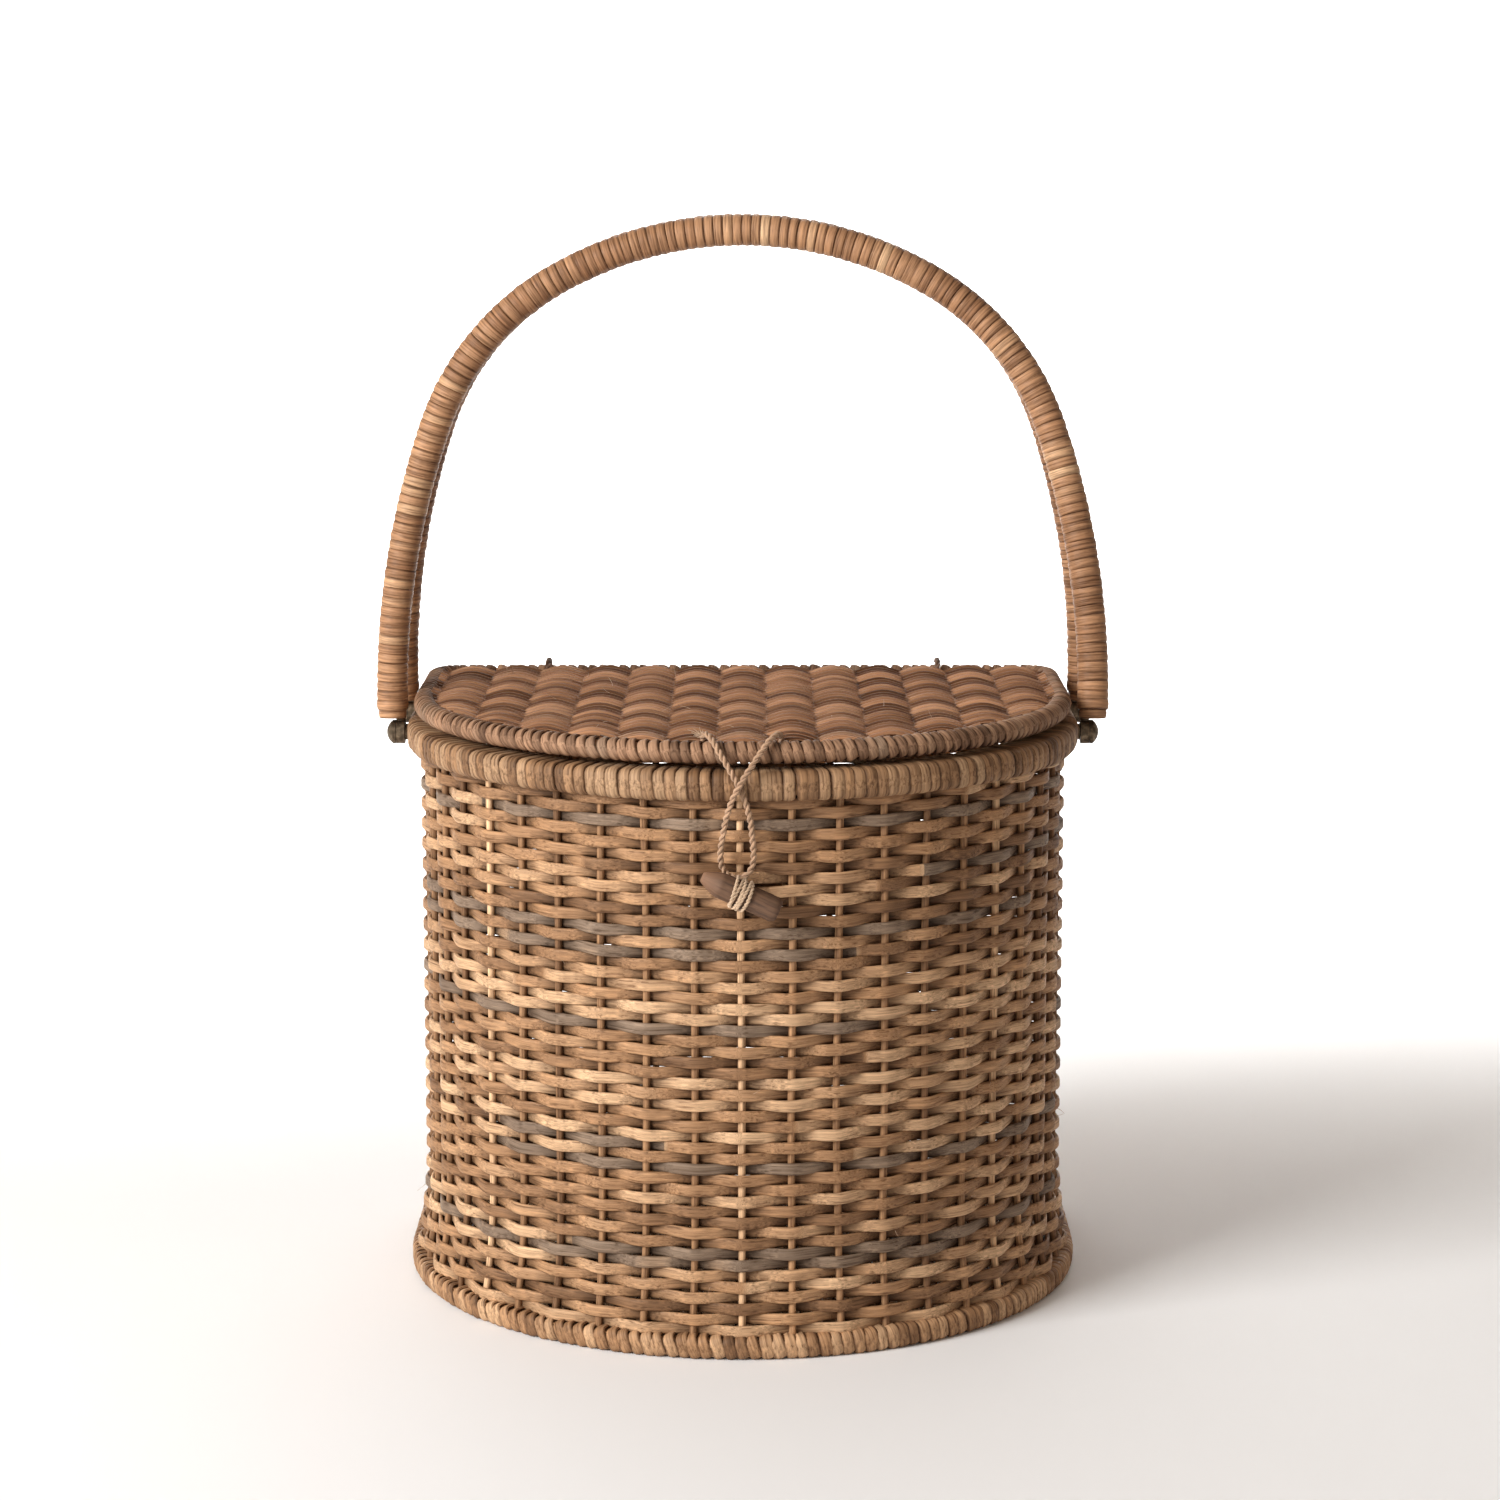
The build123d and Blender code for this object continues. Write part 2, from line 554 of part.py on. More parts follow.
def make_closure_loop():
    """The twine loop, as straight runs joined by arcs as large as they allow."""
    points = [Vector(x, y + PLAN_Y, z) for x, y, z in CLOSURE_ROUTE]
    radii = []
    for before, corner, after in zip(points, points[1:], points[2:]):
        into = corner - before
        out = after - corner
        turn = math.radians(into.get_angle(out))
        radii.append(CORNER_SHARE * min(into.length, out.length) / math.tan(turn / 2))
    path = FilletPolyline(*points, radius=radii)
    start = Plane(origin=path @ 0, z_dir=path % 0)
    loop = sweep(start * Circle(TWINE_DIAMETER / 2), path=path)
    expected = math.pi * TWINE_DIAMETER ** 2 / 4 * path.length
    print("closure loop radii", [round(radius, 1) for radius in radii])
    print("closure loop length", round(path.length, 1))
    print("closure loop volume", round(loop.volume, 1), "of", round(expected, 1))
    return loop


def handle_path():
    """Centre line of a handle, upright over its pivots: legs and a five-arc arch."""
    crown_radius = arch_crown_radius()
    crown_half = 90 - ARCH_SIDE_ANGLE - ARCH_SHOULDER_ANGLE
    side_x = HANDLE_HALF_WIDTH - ARCH_SIDE_RADIUS
    joint = math.radians(ARCH_SIDE_ANGLE)
    step = ARCH_SIDE_RADIUS - ARCH_SHOULDER_RADIUS
    shoulder_x = side_x + step * math.cos(joint)
    shoulder_z = HANDLE_ARCH_START + step * math.sin(joint)
    crown_z = arch_height() - crown_radius
    left_side = 180 - ARCH_SIDE_ANGLE
    shoulder_start = 180 - ARCH_SIDE_ANGLE - ARCH_SHOULDER_ANGLE
    return Wire([
        Line((HANDLE_HALF_WIDTH, HANDLE_END_ABOVE_PIVOT), (HANDLE_HALF_WIDTH, HANDLE_ARCH_START)),
        CenterArc((side_x, HANDLE_ARCH_START), ARCH_SIDE_RADIUS, 0, ARCH_SIDE_ANGLE),
        CenterArc((shoulder_x, shoulder_z), ARCH_SHOULDER_RADIUS, ARCH_SIDE_ANGLE, ARCH_SHOULDER_ANGLE),
        CenterArc((0, crown_z), crown_radius, 90 - crown_half, 2 * crown_half),
        CenterArc((-shoulder_x, shoulder_z), ARCH_SHOULDER_RADIUS, shoulder_start, ARCH_SHOULDER_ANGLE),
        CenterArc((-side_x, HANDLE_ARCH_START), ARCH_SIDE_RADIUS, left_side, ARCH_SIDE_ANGLE),
        Line((-HANDLE_HALF_WIDTH, HANDLE_ARCH_START), (-HANDLE_HALF_WIDTH, HANDLE_END_ABOVE_PIVOT)),
    ])


def handle_sweep(section):
    """A section carried along the handle's centre line, upright at the origin."""
    foot = Plane(origin=(HANDLE_HALF_WIDTH, 0, HANDLE_END_ABOVE_PIVOT), z_dir=(0, 0, 1))
    return sweep(foot * section, path=Plane.XZ * handle_path())


def make_eye(side):
    """An eye on the pin, with a neck and a flat tang up into the handle's core."""
    middle_x = side * (eye_inner_x() + EYE_THICKNESS / 2)
    eye = Pos(middle_x, 0, 0) * Rot(0, 90, 0) * Cylinder(EYE_DIAMETER / 2, EYE_THICKNESS)
    neck_top = HANDLE_END_ABOVE_PIVOT
    eye += Pos(middle_x, 0, neck_top / 2) * Cylinder(EYE_NECK_DIAMETER / 2, neck_top)
    eye += eye_tang(side, 0)
    bore = Cylinder(PIN_DIAMETER / 2 + PIN_BORE_CLEARANCE, 2 * EYE_THICKNESS)
    return eye - Pos(middle_x, 0, 0) * Rot(0, 90, 0) * bore


def eye_tang(side, clearance):
    """The eye's flat tang, or with a clearance the slot that it stands in."""
    outer_x = eye_inner_x() + EYE_THICKNESS
    length = EYE_TANG_LENGTH + EYE_NECK_DIAMETER / 2
    middle = HANDLE_END_ABOVE_PIVOT + EYE_TANG_LENGTH - length / 2
    place = Pos(side * (outer_x - EYE_TANG_THICKNESS / 2), 0, middle + clearance)
    return place * Box(EYE_TANG_THICKNESS + 2 * clearance, EYE_TANG_WIDTH + 2 * clearance, length)


def make_handle(name, pivot_y, lean):
    """One handle: core, binding and the eyes on its two ends."""
    core = handle_sweep(Circle(HANDLE_CORE_DIAMETER / 2))
    wrap_section = Circle(HANDLE_RADIUS) - Circle(HANDLE_CORE_DIAMETER / 2 + HOOP_CLEARANCE)
    wrap = handle_sweep(wrap_section)
    circles = wrap.edges().filter_by(GeomType.CIRCLE)
    ends = circles.filter_by(lambda edge: edge.center().Z < HANDLE_END_ABOVE_PIVOT + EDGE_TOLERANCE)
    ends = ends.filter_by(lambda edge: abs(edge.radius - HANDLE_RADIUS) < EDGE_TOLERANCE)
    wall = (HANDLE_DIAMETER - HANDLE_CORE_DIAMETER) / 2 - HOOP_CLEARANCE
    wrap = fillet(ends, min(HANDLE_END_ROUNDING, END_ROUNDING_WALL_SHARE * wall))
    slots = [eye_tang(side, HOOP_CLEARANCE) for side in (-1, 1)]
    pieces = {
        name + "_core": core - slots,
        name + "_binding": wrap - slots,
        name + "_eye_left": make_eye(-1),
        name + "_eye_right": make_eye(1),
    }
    place = Pos(0, pivot_y, PIVOT_HEIGHT) * Rot(lean, 0, 0)
    return {node: place * piece for node, piece in pieces.items()}


def as_solids(shape):
    """A list of plain solids from a part, a group or a list of either."""
    if isinstance(shape, (list, tuple)):
        return [solid for item in shape for solid in as_solids(item)]
    return list(shape.solids())


def make_nodes():
    """Every node of the basket by name."""
    stake_bottom = STAKE_FOOT_COVER
    stake_top = RIM_BOTTOM + STAKE_TOP_INSIDE_RIM
    pocket_diameter = STAKE_DIAMETER + 2 * STAKE_CLEARANCE
    pockets = stake_rods(pocket_diameter, stake_bottom - STAKE_CLEARANCE, stake_top + STAKE_CLEARANCE)
    nodes = {"wall_stakes": stake_rods(STAKE_DIAMETER, stake_bottom, stake_top)}
    nodes["base_sticks"] = make_base_sticks()
    nodes["base_weave"] = make_base_weave(nodes["base_sticks"])
    nodes["foot_hoop"], nodes["foot_binding"] = make_foot(pockets)
    nodes["wall_weave"] = make_wall(pockets)
    nodes["rim_outer_hoop"], nodes["rim_inner_hoop"], nodes["rim_binding"] = make_rim()
    for end, pivot_y in (("front", FRONT_PIVOT_Y), ("back", BACK_PIVOT_Y)):
        for side, sign in (("left", -1), ("right", 1)):
            nodes[f"{end}_pivot_pin_{side}"] = make_pin(sign, pivot_y)
    nodes["pivot_washers"] = make_washers()
    nodes["toggle_tie"] = make_toggle_tie()
    nodes["toggle_peg"] = make_toggle_peg()
    nodes["toggle_lashing"] = make_toggle_lashing()
    nodes["lid_hoop"], nodes["lid_binding"] = make_lid_border()
    nodes["lid_ribs"] = make_lid_ribs()
    nodes["lid_weave"] = make_lid_weave(nodes["lid_ribs"])
    nodes["hinge_ring_left"] = hinge_ring(-HINGE_RING_OFFSET)
    nodes["hinge_ring_right"] = hinge_ring(HINGE_RING_OFFSET)
    nodes["closure_loop"] = make_closure_loop()
    nodes.update(make_handle("front_handle", FRONT_PIVOT_Y, -handle_lean()))
    nodes.update(make_handle("back_handle", BACK_PIVOT_Y, handle_lean()))
    return nodes


os.makedirs("parts", exist_ok=True)
for node_name, shape in make_nodes().items():
    solids = as_solids(shape)
    whole = solids[0] if len(solids) == 1 else Compound(children=solids)
    export_step(whole, f"parts/{node_name}.step")

print("handle lean", round(handle_lean(), 3), "crown radius", round(arch_crown_radius(), 1))
print("pivots at y", round(FRONT_PIVOT_Y, 3), round(BACK_PIVOT_Y, 3))
print("hinge at y", round(HINGE_Y, 3), "z", LID_TUBE_HEIGHT)
print("toggle at y", round(PLAN_Y - PEG_DISTANCE, 3), "plan middle at y", round(PLAN_Y, 3))
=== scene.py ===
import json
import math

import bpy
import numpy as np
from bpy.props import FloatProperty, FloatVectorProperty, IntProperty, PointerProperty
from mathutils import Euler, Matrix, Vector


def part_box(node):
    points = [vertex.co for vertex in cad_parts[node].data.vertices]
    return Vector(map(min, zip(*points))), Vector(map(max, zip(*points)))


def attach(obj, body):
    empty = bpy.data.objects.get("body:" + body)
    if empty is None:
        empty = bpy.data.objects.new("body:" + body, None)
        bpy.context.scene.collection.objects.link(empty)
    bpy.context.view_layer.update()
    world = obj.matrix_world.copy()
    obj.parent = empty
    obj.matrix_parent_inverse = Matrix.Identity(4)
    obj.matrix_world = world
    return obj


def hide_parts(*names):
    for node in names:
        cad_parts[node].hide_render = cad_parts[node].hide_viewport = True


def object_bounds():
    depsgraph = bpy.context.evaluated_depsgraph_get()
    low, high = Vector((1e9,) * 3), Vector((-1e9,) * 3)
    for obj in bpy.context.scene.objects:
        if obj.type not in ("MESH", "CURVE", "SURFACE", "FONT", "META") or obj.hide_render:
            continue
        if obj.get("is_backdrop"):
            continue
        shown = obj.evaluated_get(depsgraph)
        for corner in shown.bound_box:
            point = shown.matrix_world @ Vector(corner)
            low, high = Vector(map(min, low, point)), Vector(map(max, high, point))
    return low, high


bl_info = {
    "name": "Lidded wicker basket",
    "version": (1, 0, 0),
    "blender": (4, 5, 0),
    "location": "3D View > Sidebar > Basket",
    "description": "Weaves and binds a lidded cane basket round its structural model",
    "category": "Add Mesh",
}

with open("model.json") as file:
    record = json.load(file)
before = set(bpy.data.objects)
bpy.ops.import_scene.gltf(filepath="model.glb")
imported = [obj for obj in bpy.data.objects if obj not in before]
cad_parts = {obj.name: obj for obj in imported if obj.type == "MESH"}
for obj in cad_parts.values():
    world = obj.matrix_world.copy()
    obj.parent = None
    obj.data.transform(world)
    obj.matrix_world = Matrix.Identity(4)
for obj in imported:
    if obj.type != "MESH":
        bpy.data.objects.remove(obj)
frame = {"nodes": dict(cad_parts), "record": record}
CAD_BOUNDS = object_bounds()
MM = 0.001

# Places that come from the structural model
RIM_LOW, RIM_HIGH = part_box("rim_binding")
FOOT_LOW, FOOT_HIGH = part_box("foot_binding")
LID_LOW, LID_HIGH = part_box("lid_binding")
LID_WEAVE_LOW, LID_WEAVE_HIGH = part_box("lid_weave")
BASE_LOW, BASE_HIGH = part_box("base_weave")
JOINTS = {joint["name"]: joint for joint in frame["record"]["behaviour"]["joints"]}
RIM_HALF = RIM_HIGH[0]
PLAN_Y = RIM_LOW[1] + RIM_HALF
RIM_FRONT = RIM_LOW[1]
TOGGLE_PIVOT = Vector(JOINTS["toggle_swivel"]["pos_m"])

# Driving sizes of the woven parts, in metres
BACK_CORNER = 22.0 * MM
CORNER_X = RIM_HALF - BACK_CORNER
SIDE_END = RIM_HIGH[1] - BACK_CORNER
STAKE_INSET = 9.8 * MM
STAKE_COUNT = 42
FLARE = 5.3 * MM
FLARE_TOP = 66.0 * MM
RIM_ROUNDING = 4.5 * MM
FOOT_WIDTH = 11.6 * MM
FOOT_INSET = STAKE_INSET - FLARE
FOOT_ROUNDING = 2.5 * MM
LID_INSET = RIM_HALF - LID_HIGH[0]
LID_TUBE = (LID_HIGH[2] - LID_LOW[2]) / 2
RIB_SPACING = 23.0 * MM
BASE_STICK_SPACING = 24.0 * MM

# The handles' arch: half width, straight leg, then side, shoulder and crown arcs
HANDLE_HALF = 173.0 * MM
HANDLE_RADIUS = 7.7 * MM
HANDLE_END = 6.8 * MM
ARCH_START = 19.8 * MM
ARCH_SIDE_ANGLE = math.radians(19.0)
ARCH_SHOULDER_ANGLE = math.radians(41.0)
ARCH_SHOULDER_RADIUS = 131.0 * MM
ARCH_SIDE_RADIUS = 400.8 * MM
HANDLES_APART = 0.5 * MM

# Share of the way round a binding cane's section where the middle of its face lies
FACE_MIDDLE = 0.23

# The peg of the closure, with its chamfered butt and its tapered, flattened and pale tip
PEG_RADIUS = 6.0 * MM
PEG_LENGTH = 38.0 * MM
PEG_TILT = math.radians(25.0)
PEG_CHAMFER = 1.8 * MM
PEG_TAPER = 8.5 * MM
PEG_FLAT = 9.0 * MM
PEG_PALE_TIP = 10.0 * MM
LASHING_DIAMETER = 1.8 * MM
LASHING_TURNS = ((-3.0, 1.0), (-1.8, -0.8), (-0.6, 0.9), (0.6, -0.9), (1.8, 0.8), (3.0, -1.0))

# The wall's weave: where its rows start and end, and where the closure's tie parts them
ROWS_ABOVE_FOOT = 2.0 * MM
ROWS_BELOW_RIM = 1.6 * MM
PARTING_REACH = 24.0 * MM
PARTING_PUSH = 1.6 * MM
SHORT_CANE, LONG_CANE = 70, 220
GREY_SHARE = 0.10
GREYEST_TONE, PLAIN_TONES = 0.86, 0.80
PALE_STAKE_EVERY = 6

# The bindings: slant and roughness of the turns, and how far each covers the next
RIM_LAY = {"slant": 0.10, "rough": 1.6}
FOOT_LAY = {"slant": 0.26, "rough": 2.2}
LID_LAY = {"slant": 0.34, "rough": 1.1, "grouping": 0.35}
RIM_COVER, FOOT_COVER, LID_COVER, HANDLE_COVER = 1.04, 1.02, 1.03, 1.06
FOOT_CLEARANCE = 0.2 * MM
TURN_JITTER = (0.010, 0.014, 0.05)
HANDLE_JITTER = (0.012, 0.012, 0.12)
HANDLE_CANE_SHARE = 0.7

# The flat weaves of the lid and the base: gaps between strands, and how sharply they bend
POINTS_PER_SPACE = 9
STRAND_BOW = 0.30 * MM
LID_GAPS, LID_BEND = 0.24, 0.6
BASE_GAPS, BASE_BEND = 0.04, 0.8
BASE_COVER = 0.98
BASE_STRAND_THICKNESS = 1.8 * MM
BASE_RISE = 1.6 * MM
WALL_BEND = 0.93

# Twine plies and stray fibres: diameters, numbers and lengths
PLY_SHARE = 0.52
LASHING_PLY_SHARE = 0.54
TWIST_LENGTH = 2.3
FIBRE_DIAMETER = 0.28 * MM
FRAYED_DIAMETER = 0.45 * MM
WALL_FIBRES, LID_FIBRES, FRAYED_FIBRES = 46, 16, 14
WALL_FIBRE_LENGTHS = (3.0, 7.0)
LID_FIBRE_LENGTHS = (4.0, 8.0)
FRAYED_LENGTHS = (2.5, 5.0)
WALL_FIBRE_HEIGHTS = (0.02, 0.255)

# The camera and the lamps: name, place, aim, size, power and spread
CAMERA_LENS = 87.7
CAMERA_PLACE = (0.0036, RIM_FRONT - 1.617, 0.564)
CAMERA_DOWN = math.radians(9.74)
WORLD_COLOUR = (1.0, 0.84, 0.70, 1.0)
WORLD_STRENGTH = 0.30
LAMPS = (
    ("key", (-1.9, -1.5, 1.3), (0.0, 0.0, 0.25), 1.2, 92.0, math.pi),
    ("fill", (0.3, -2.4, 0.9), (0.0, 0.0, 0.25), 1.4, 2.5, math.pi),
    ("backdrop", (0.0, 0.9, 1.9), (0.0, 2.4, 0.6), 2.2, 90.0, math.radians(110.0)),
)

# Route of the closure twine from the middle of the plan's half circle, in metres
CLOSURE_ROUTE = [
    (0.0180, -0.1486, 0.2874),
    (0.0174, -0.1509, 0.2914),
    (0.0158, -0.1560, 0.2921),
    (0.0126, -0.1612, 0.2904),
    (0.0084, -0.1648, 0.2852),
    (0.0042, -0.1676, 0.2792),
    (0.0002, -0.1699, 0.2732),
    (-0.0036, -0.1702, 0.2666),
    (-0.0066, -0.1688, 0.2584),
    (-0.0084, -0.1666, 0.2494),
    (-0.0098, -0.1644, 0.2408),
    (-0.0097, -0.1627, 0.2332),
    (-0.0066, -0.1622, 0.2282),
    (-0.0012, -0.1620, 0.2266),
    (0.0034, -0.1622, 0.2292),
    (0.0054, -0.1630, 0.2350),
    (0.0049, -0.1644, 0.2440),
    (0.0040, -0.1660, 0.2536),
    (0.0019, -0.1672, 0.2624),
    (-0.0014, -0.1670, 0.2700),
    (-0.0052, -0.1667, 0.2770),
    (-0.0092, -0.1649, 0.2834),
    (-0.0126, -0.1614, 0.2892),
    (-0.0156, -0.1566, 0.2922),
    (-0.0176, -0.1512, 0.2916),
    (-0.0184, -0.1486, 0.2874),
]
TWINE_DIAMETER = 3.0 * MM


# ---------------------------------------------------------------- settings

def length(name, description, value):
    """A size that a user may change, kept in metres."""
    return FloatProperty(name=name, description=description, default=value, min=0.0,
                         unit="LENGTH", precision=5)


def colour(name, description, value):
    """A colour that a user may change."""
    return FloatVectorProperty(name=name, description=description, default=value, size=3,
                               min=0, max=1, subtype="COLOR")


class BasketWeaveSettings(bpy.types.PropertyGroup):
    rows: IntProperty(name="Wall rows", description="Rows of cane in the wall", default=50, min=4)
    strand_width: length("Strand width", "Height of one weaver in the wall", 5.45 * MM)
    strand_thickness: length("Strand thickness", "Thickness of one weaver", 2.3 * MM)
    lid_pitch: length("Lid pitch", "Distance between strands of the lid", 4.1 * MM)
    lid_strand_width: length("Lid strand width", "Width of one strand of the lid", 4.6 * MM)
    lid_strand_thickness: length("Lid strand thickness", "Thickness of one strand of the lid",
                                 1.9 * MM)
    base_pitch: length("Base pitch", "Distance between strands of the base", 5.2 * MM)
    waviness: length("Waviness", "How far rows wander up and down", 0.7 * MM)
    stake_wander: length("Stake wander", "How far stakes lean aside", 1.3 * MM)
    stake_width: length("Stake width", "Diameter of a visible stake", 3.5 * MM)
    lid_rise: length("Lid rise", "How high a strand of the lid arches over a rib", 2.9 * MM)


class BasketBindingSettings(bpy.types.PropertyGroup):
    rim_turn: length("Rim turn", "Width of one turn of cane round the rim", 5.5 * MM)
    foot_turn: length("Foot turn", "Width of one turn of cane round the foot", 5.6 * MM)
    lid_turn: length("Lid turn", "Width of one turn of cane round the lid's border", 5.2 * MM)
    handle_turn: length("Handle turn", "Width of one turn of cane round a handle", 4.6 * MM)
    thickness: length("Cane thickness", "Thickness of the binding cane", 1.7 * MM)


class BasketColourSettings(bpy.types.PropertyGroup):
    body_light: colour("Body light", "Palest cane of the wall", (0.62, 0.40, 0.235))
    body_middle: colour("Body middle", "Usual cane of the wall", (0.42, 0.235, 0.120))
    body_dark: colour("Body dark", "Darkest cane of the wall", (0.20, 0.105, 0.052))
    body_grey: colour("Body grey", "Weathered strands of the wall", (0.235, 0.165, 0.115))
    lid_light: colour("Lid light", "Palest cane of the lid", (0.52, 0.270, 0.146))
    lid_dark: colour("Lid dark", "Darkest cane of the lid", (0.26, 0.124, 0.063))
    border_light: colour("Border light", "Palest cane of the lid's border", (0.38, 0.222, 0.135))
    border_dark: colour("Border dark", "Darkest cane of the lid's border", (0.15, 0.085, 0.052))
    handle_light: colour("Handle light", "Palest cane of the handles", (0.44, 0.240, 0.128))
    handle_dark: colour("Handle dark", "Darkest cane of the handles", (0.25, 0.120, 0.058))
    twine: colour("Twine", "Plant fibre twine", (0.44, 0.275, 0.170))
    lashing: colour("Lashing", "Pale twine round the peg", (0.58, 0.410, 0.270))
    peg: colour("Peg", "Bare wood of the peg", (0.130, 0.066, 0.035))
    brass: colour("Brass", "Aged brass of the pins and eyes", (0.085, 0.062, 0.040))


# ---------------------------------------------------------------- node helpers

class Nodes:
    """Adds nodes to a tree and wires or sets their inputs by name."""

    def __init__(self, tree):
        self.tree = tree

    def set(self, node, inputs):
        """Wires an input to a socket, or gives it a plain value."""
        for key, value in inputs.items():
            if isinstance(value, bpy.types.NodeSocket):
                self.tree.links.new(value, node.inputs[key])
            else:
                node.inputs[key].default_value = value

    def add(self, kind, inputs=None, **settings):
        node = self.tree.nodes.new(kind)
        for key, value in settings.items():
            setattr(node, key, value)
        self.set(node, inputs or {})
        return node

    def out(self, kind, inputs=None, **settings):
        """The first output of a new node."""
        return self.add(kind, inputs, **settings).outputs[0]

    def math(self, operation, first, second=0.0):
        return self.out("ShaderNodeMath", {0: first, 1: second}, operation=operation)

    def scaled(self, vector, factor):
        inputs = {0: vector, "Scale": factor}
        return self.out("ShaderNodeVectorMath", inputs, operation="SCALE")

    def attribute(self, name, data_type="FLOAT"):
        inputs = {"Name": name}
        return self.out("GeometryNodeInputNamedAttribute", inputs, data_type=data_type)

    def vector(self, name):
        return self.attribute(name, "FLOAT_VECTOR")

    def store(self, geometry, name, value):
        inputs = {"Geometry": geometry, "Name": name, "Value": value}
        return self.out("GeometryNodeStoreNamedAttribute", inputs, data_type="FLOAT",
                        domain="POINT")


def geometry_tree(name, inputs):
    """A new geometry tree with named inputs, its helper and its input sockets by name."""
    tree = bpy.data.node_groups.new(name, "GeometryNodeTree")
    ends = [("Geometry", "Geometry", "INPUT"), ("Geometry", "Geometry", "OUTPUT")]
    for label, kind, in_out in ends + [(label, kind, "INPUT") for label, kind in inputs]:
        tree.interface.new_socket(label, in_out=in_out, socket_type="NodeSocket" + kind)
    nodes = Nodes(tree)
    sockets = {socket.name: socket for socket in nodes.add("NodeGroupInput").outputs}
    return tree, nodes, sockets


def close_tree(nodes, geometry, material):
    """Ends a tree with real geometry, smooth shading and its material."""
    real = nodes.out("GeometryNodeRealizeInstances", {"Geometry": geometry})
    smooth = nodes.out("GeometryNodeSetShadeSmooth", {"Geometry": real})
    inputs = {"Geometry": smooth, "Material": material}
    nodes.add("NodeGroupOutput", {"Geometry": nodes.out("GeometryNodeSetMaterial", inputs)})


def edge_curve(nodes, holder):
    """The curve along the edges of a helper object."""
    edges = nodes.add("GeometryNodeObjectInfo", {"Object": holder}).outputs["Geometry"]
    return nodes.out("GeometryNodeMeshToCurve", {"Mesh": edges})


def section_curve(nodes, section, sideways, upright):
    """A unit cross section at its real size, with its factor stored as across."""
    size = nodes.out("ShaderNodeCombineXYZ", {"X": sideways, "Y": upright, "Z": 1.0})
    inputs = {"Geometry": edge_curve(nodes, section), "Scale": size}
    factor = nodes.add("GeometryNodeSplineParameter").outputs["Factor"]
    return nodes.store(nodes.out("GeometryNodeTransform", inputs), "across", factor)


def strand_tree(name, normals):
    """Strands that swing from side to side along guide lines."""
    labels = [("Section", "Object"), ("Sideways", "Float"), ("Upright", "Float"),
              ("Depth", "Float"), ("Sharpness", "Float"), ("Material", "Material")]
    tree, nodes, sockets = geometry_tree(name, labels)
    wave = nodes.math("COSINE", nodes.math("MULTIPLY", nodes.attribute("phase"), math.pi))
    bent = nodes.math("ARCSINE", nodes.math("MULTIPLY", wave, sockets["Sharpness"]))
    swing = nodes.math("DIVIDE", bent, nodes.math("ARCSINE", sockets["Sharpness"]))
    offset = nodes.scaled(nodes.vector("side"), nodes.math("MULTIPLY", swing, sockets["Depth"]))
    inputs = {"Geometry": sockets["Geometry"], "Offset": offset}
    woven = nodes.out("GeometryNodeSetPosition", inputs)
    crest = nodes.math("ADD", nodes.math("MULTIPLY", swing, 0.5), 0.5)
    lines = nodes.out("GeometryNodeMeshToCurve", {"Mesh": nodes.store(woven, "crest", crest)})
    lines = nodes.out("GeometryNodeSetCurveNormal", {"Curve": lines}, mode=normals)
    profile = section_curve(nodes, sockets["Section"], sockets["Sideways"], sockets["Upright"])
    inputs = {"Curve": lines, "Profile Curve": profile, "Scale": nodes.attribute("swell"),
              "Fill Caps": True}
    close_tree(nodes, nodes.out("GeometryNodeCurveToMesh", inputs), sockets["Material"])
    return tree


def binding_tree():
    """Turns of flat cane set one after another along a guide."""
    labels = [("Outline", "Object"), ("Section", "Object"), ("Turn", "Float"),
              ("Thickness", "Float"), ("Material", "Material")]
    tree, nodes, sockets = geometry_tree("cane_binding", labels)
    walked = nodes.add("GeometryNodeSplineParameter").outputs["Length"]
    outline = nodes.store(edge_curve(nodes, sockets["Outline"]), "along", walked)
    outline = nodes.out("GeometryNodeSetCurveNormal", {"Curve": outline}, mode="Z_UP")
    profile = section_curve(nodes, sockets["Section"], sockets["Thickness"], sockets["Turn"])
    turn = nodes.out("GeometryNodeCurveToMesh", {"Curve": outline, "Profile Curve": profile})
    axes = {"Primary Axis": nodes.vector("axis"), "Secondary Axis": nodes.vector("outward")}
    inputs = {
        "Points": nodes.out("GeometryNodeMeshToPoints", {"Mesh": sockets["Geometry"]}),
        "Instance": turn,
        "Rotation": nodes.out("FunctionNodeAxesToRotation", axes, primary_axis="Z",
                              secondary_axis="X"),
        "Scale": nodes.vector("stretch"),
    }
    close_tree(nodes, nodes.out("GeometryNodeInstanceOnPoints", inputs), sockets["Material"])
    return tree


# ---------------------------------------------------------------- mesh helpers

def link(thing):
    bpy.context.scene.collection.objects.link(thing)
    return thing


def unit(vectors):
    """Vectors made one unit long."""
    return vectors / np.linalg.norm(vectors, axis=-1, keepdims=True)


def flat_and(plan, heights):
    """Points or directions in the plan with their heights added."""
    return np.column_stack([plan, np.broadcast_to(heights, len(plan))])


def guide_mesh(name, points, edges, faces=(), **attributes):
    """A mesh with one value or vector per point for each attribute."""
    mesh = bpy.data.meshes.new(name)
    mesh.from_pydata(np.asarray(points).tolist(), np.asarray(edges).tolist(), faces)
    for key, values in attributes.items():
        values = np.asarray(values, dtype=np.float32)
        vector = values.ndim == 2
        layer = mesh.attributes.new(key, "FLOAT_VECTOR" if vector else "FLOAT", "POINT")
        layer.data.foreach_set("vector" if vector else "value", values.ravel())
    return mesh


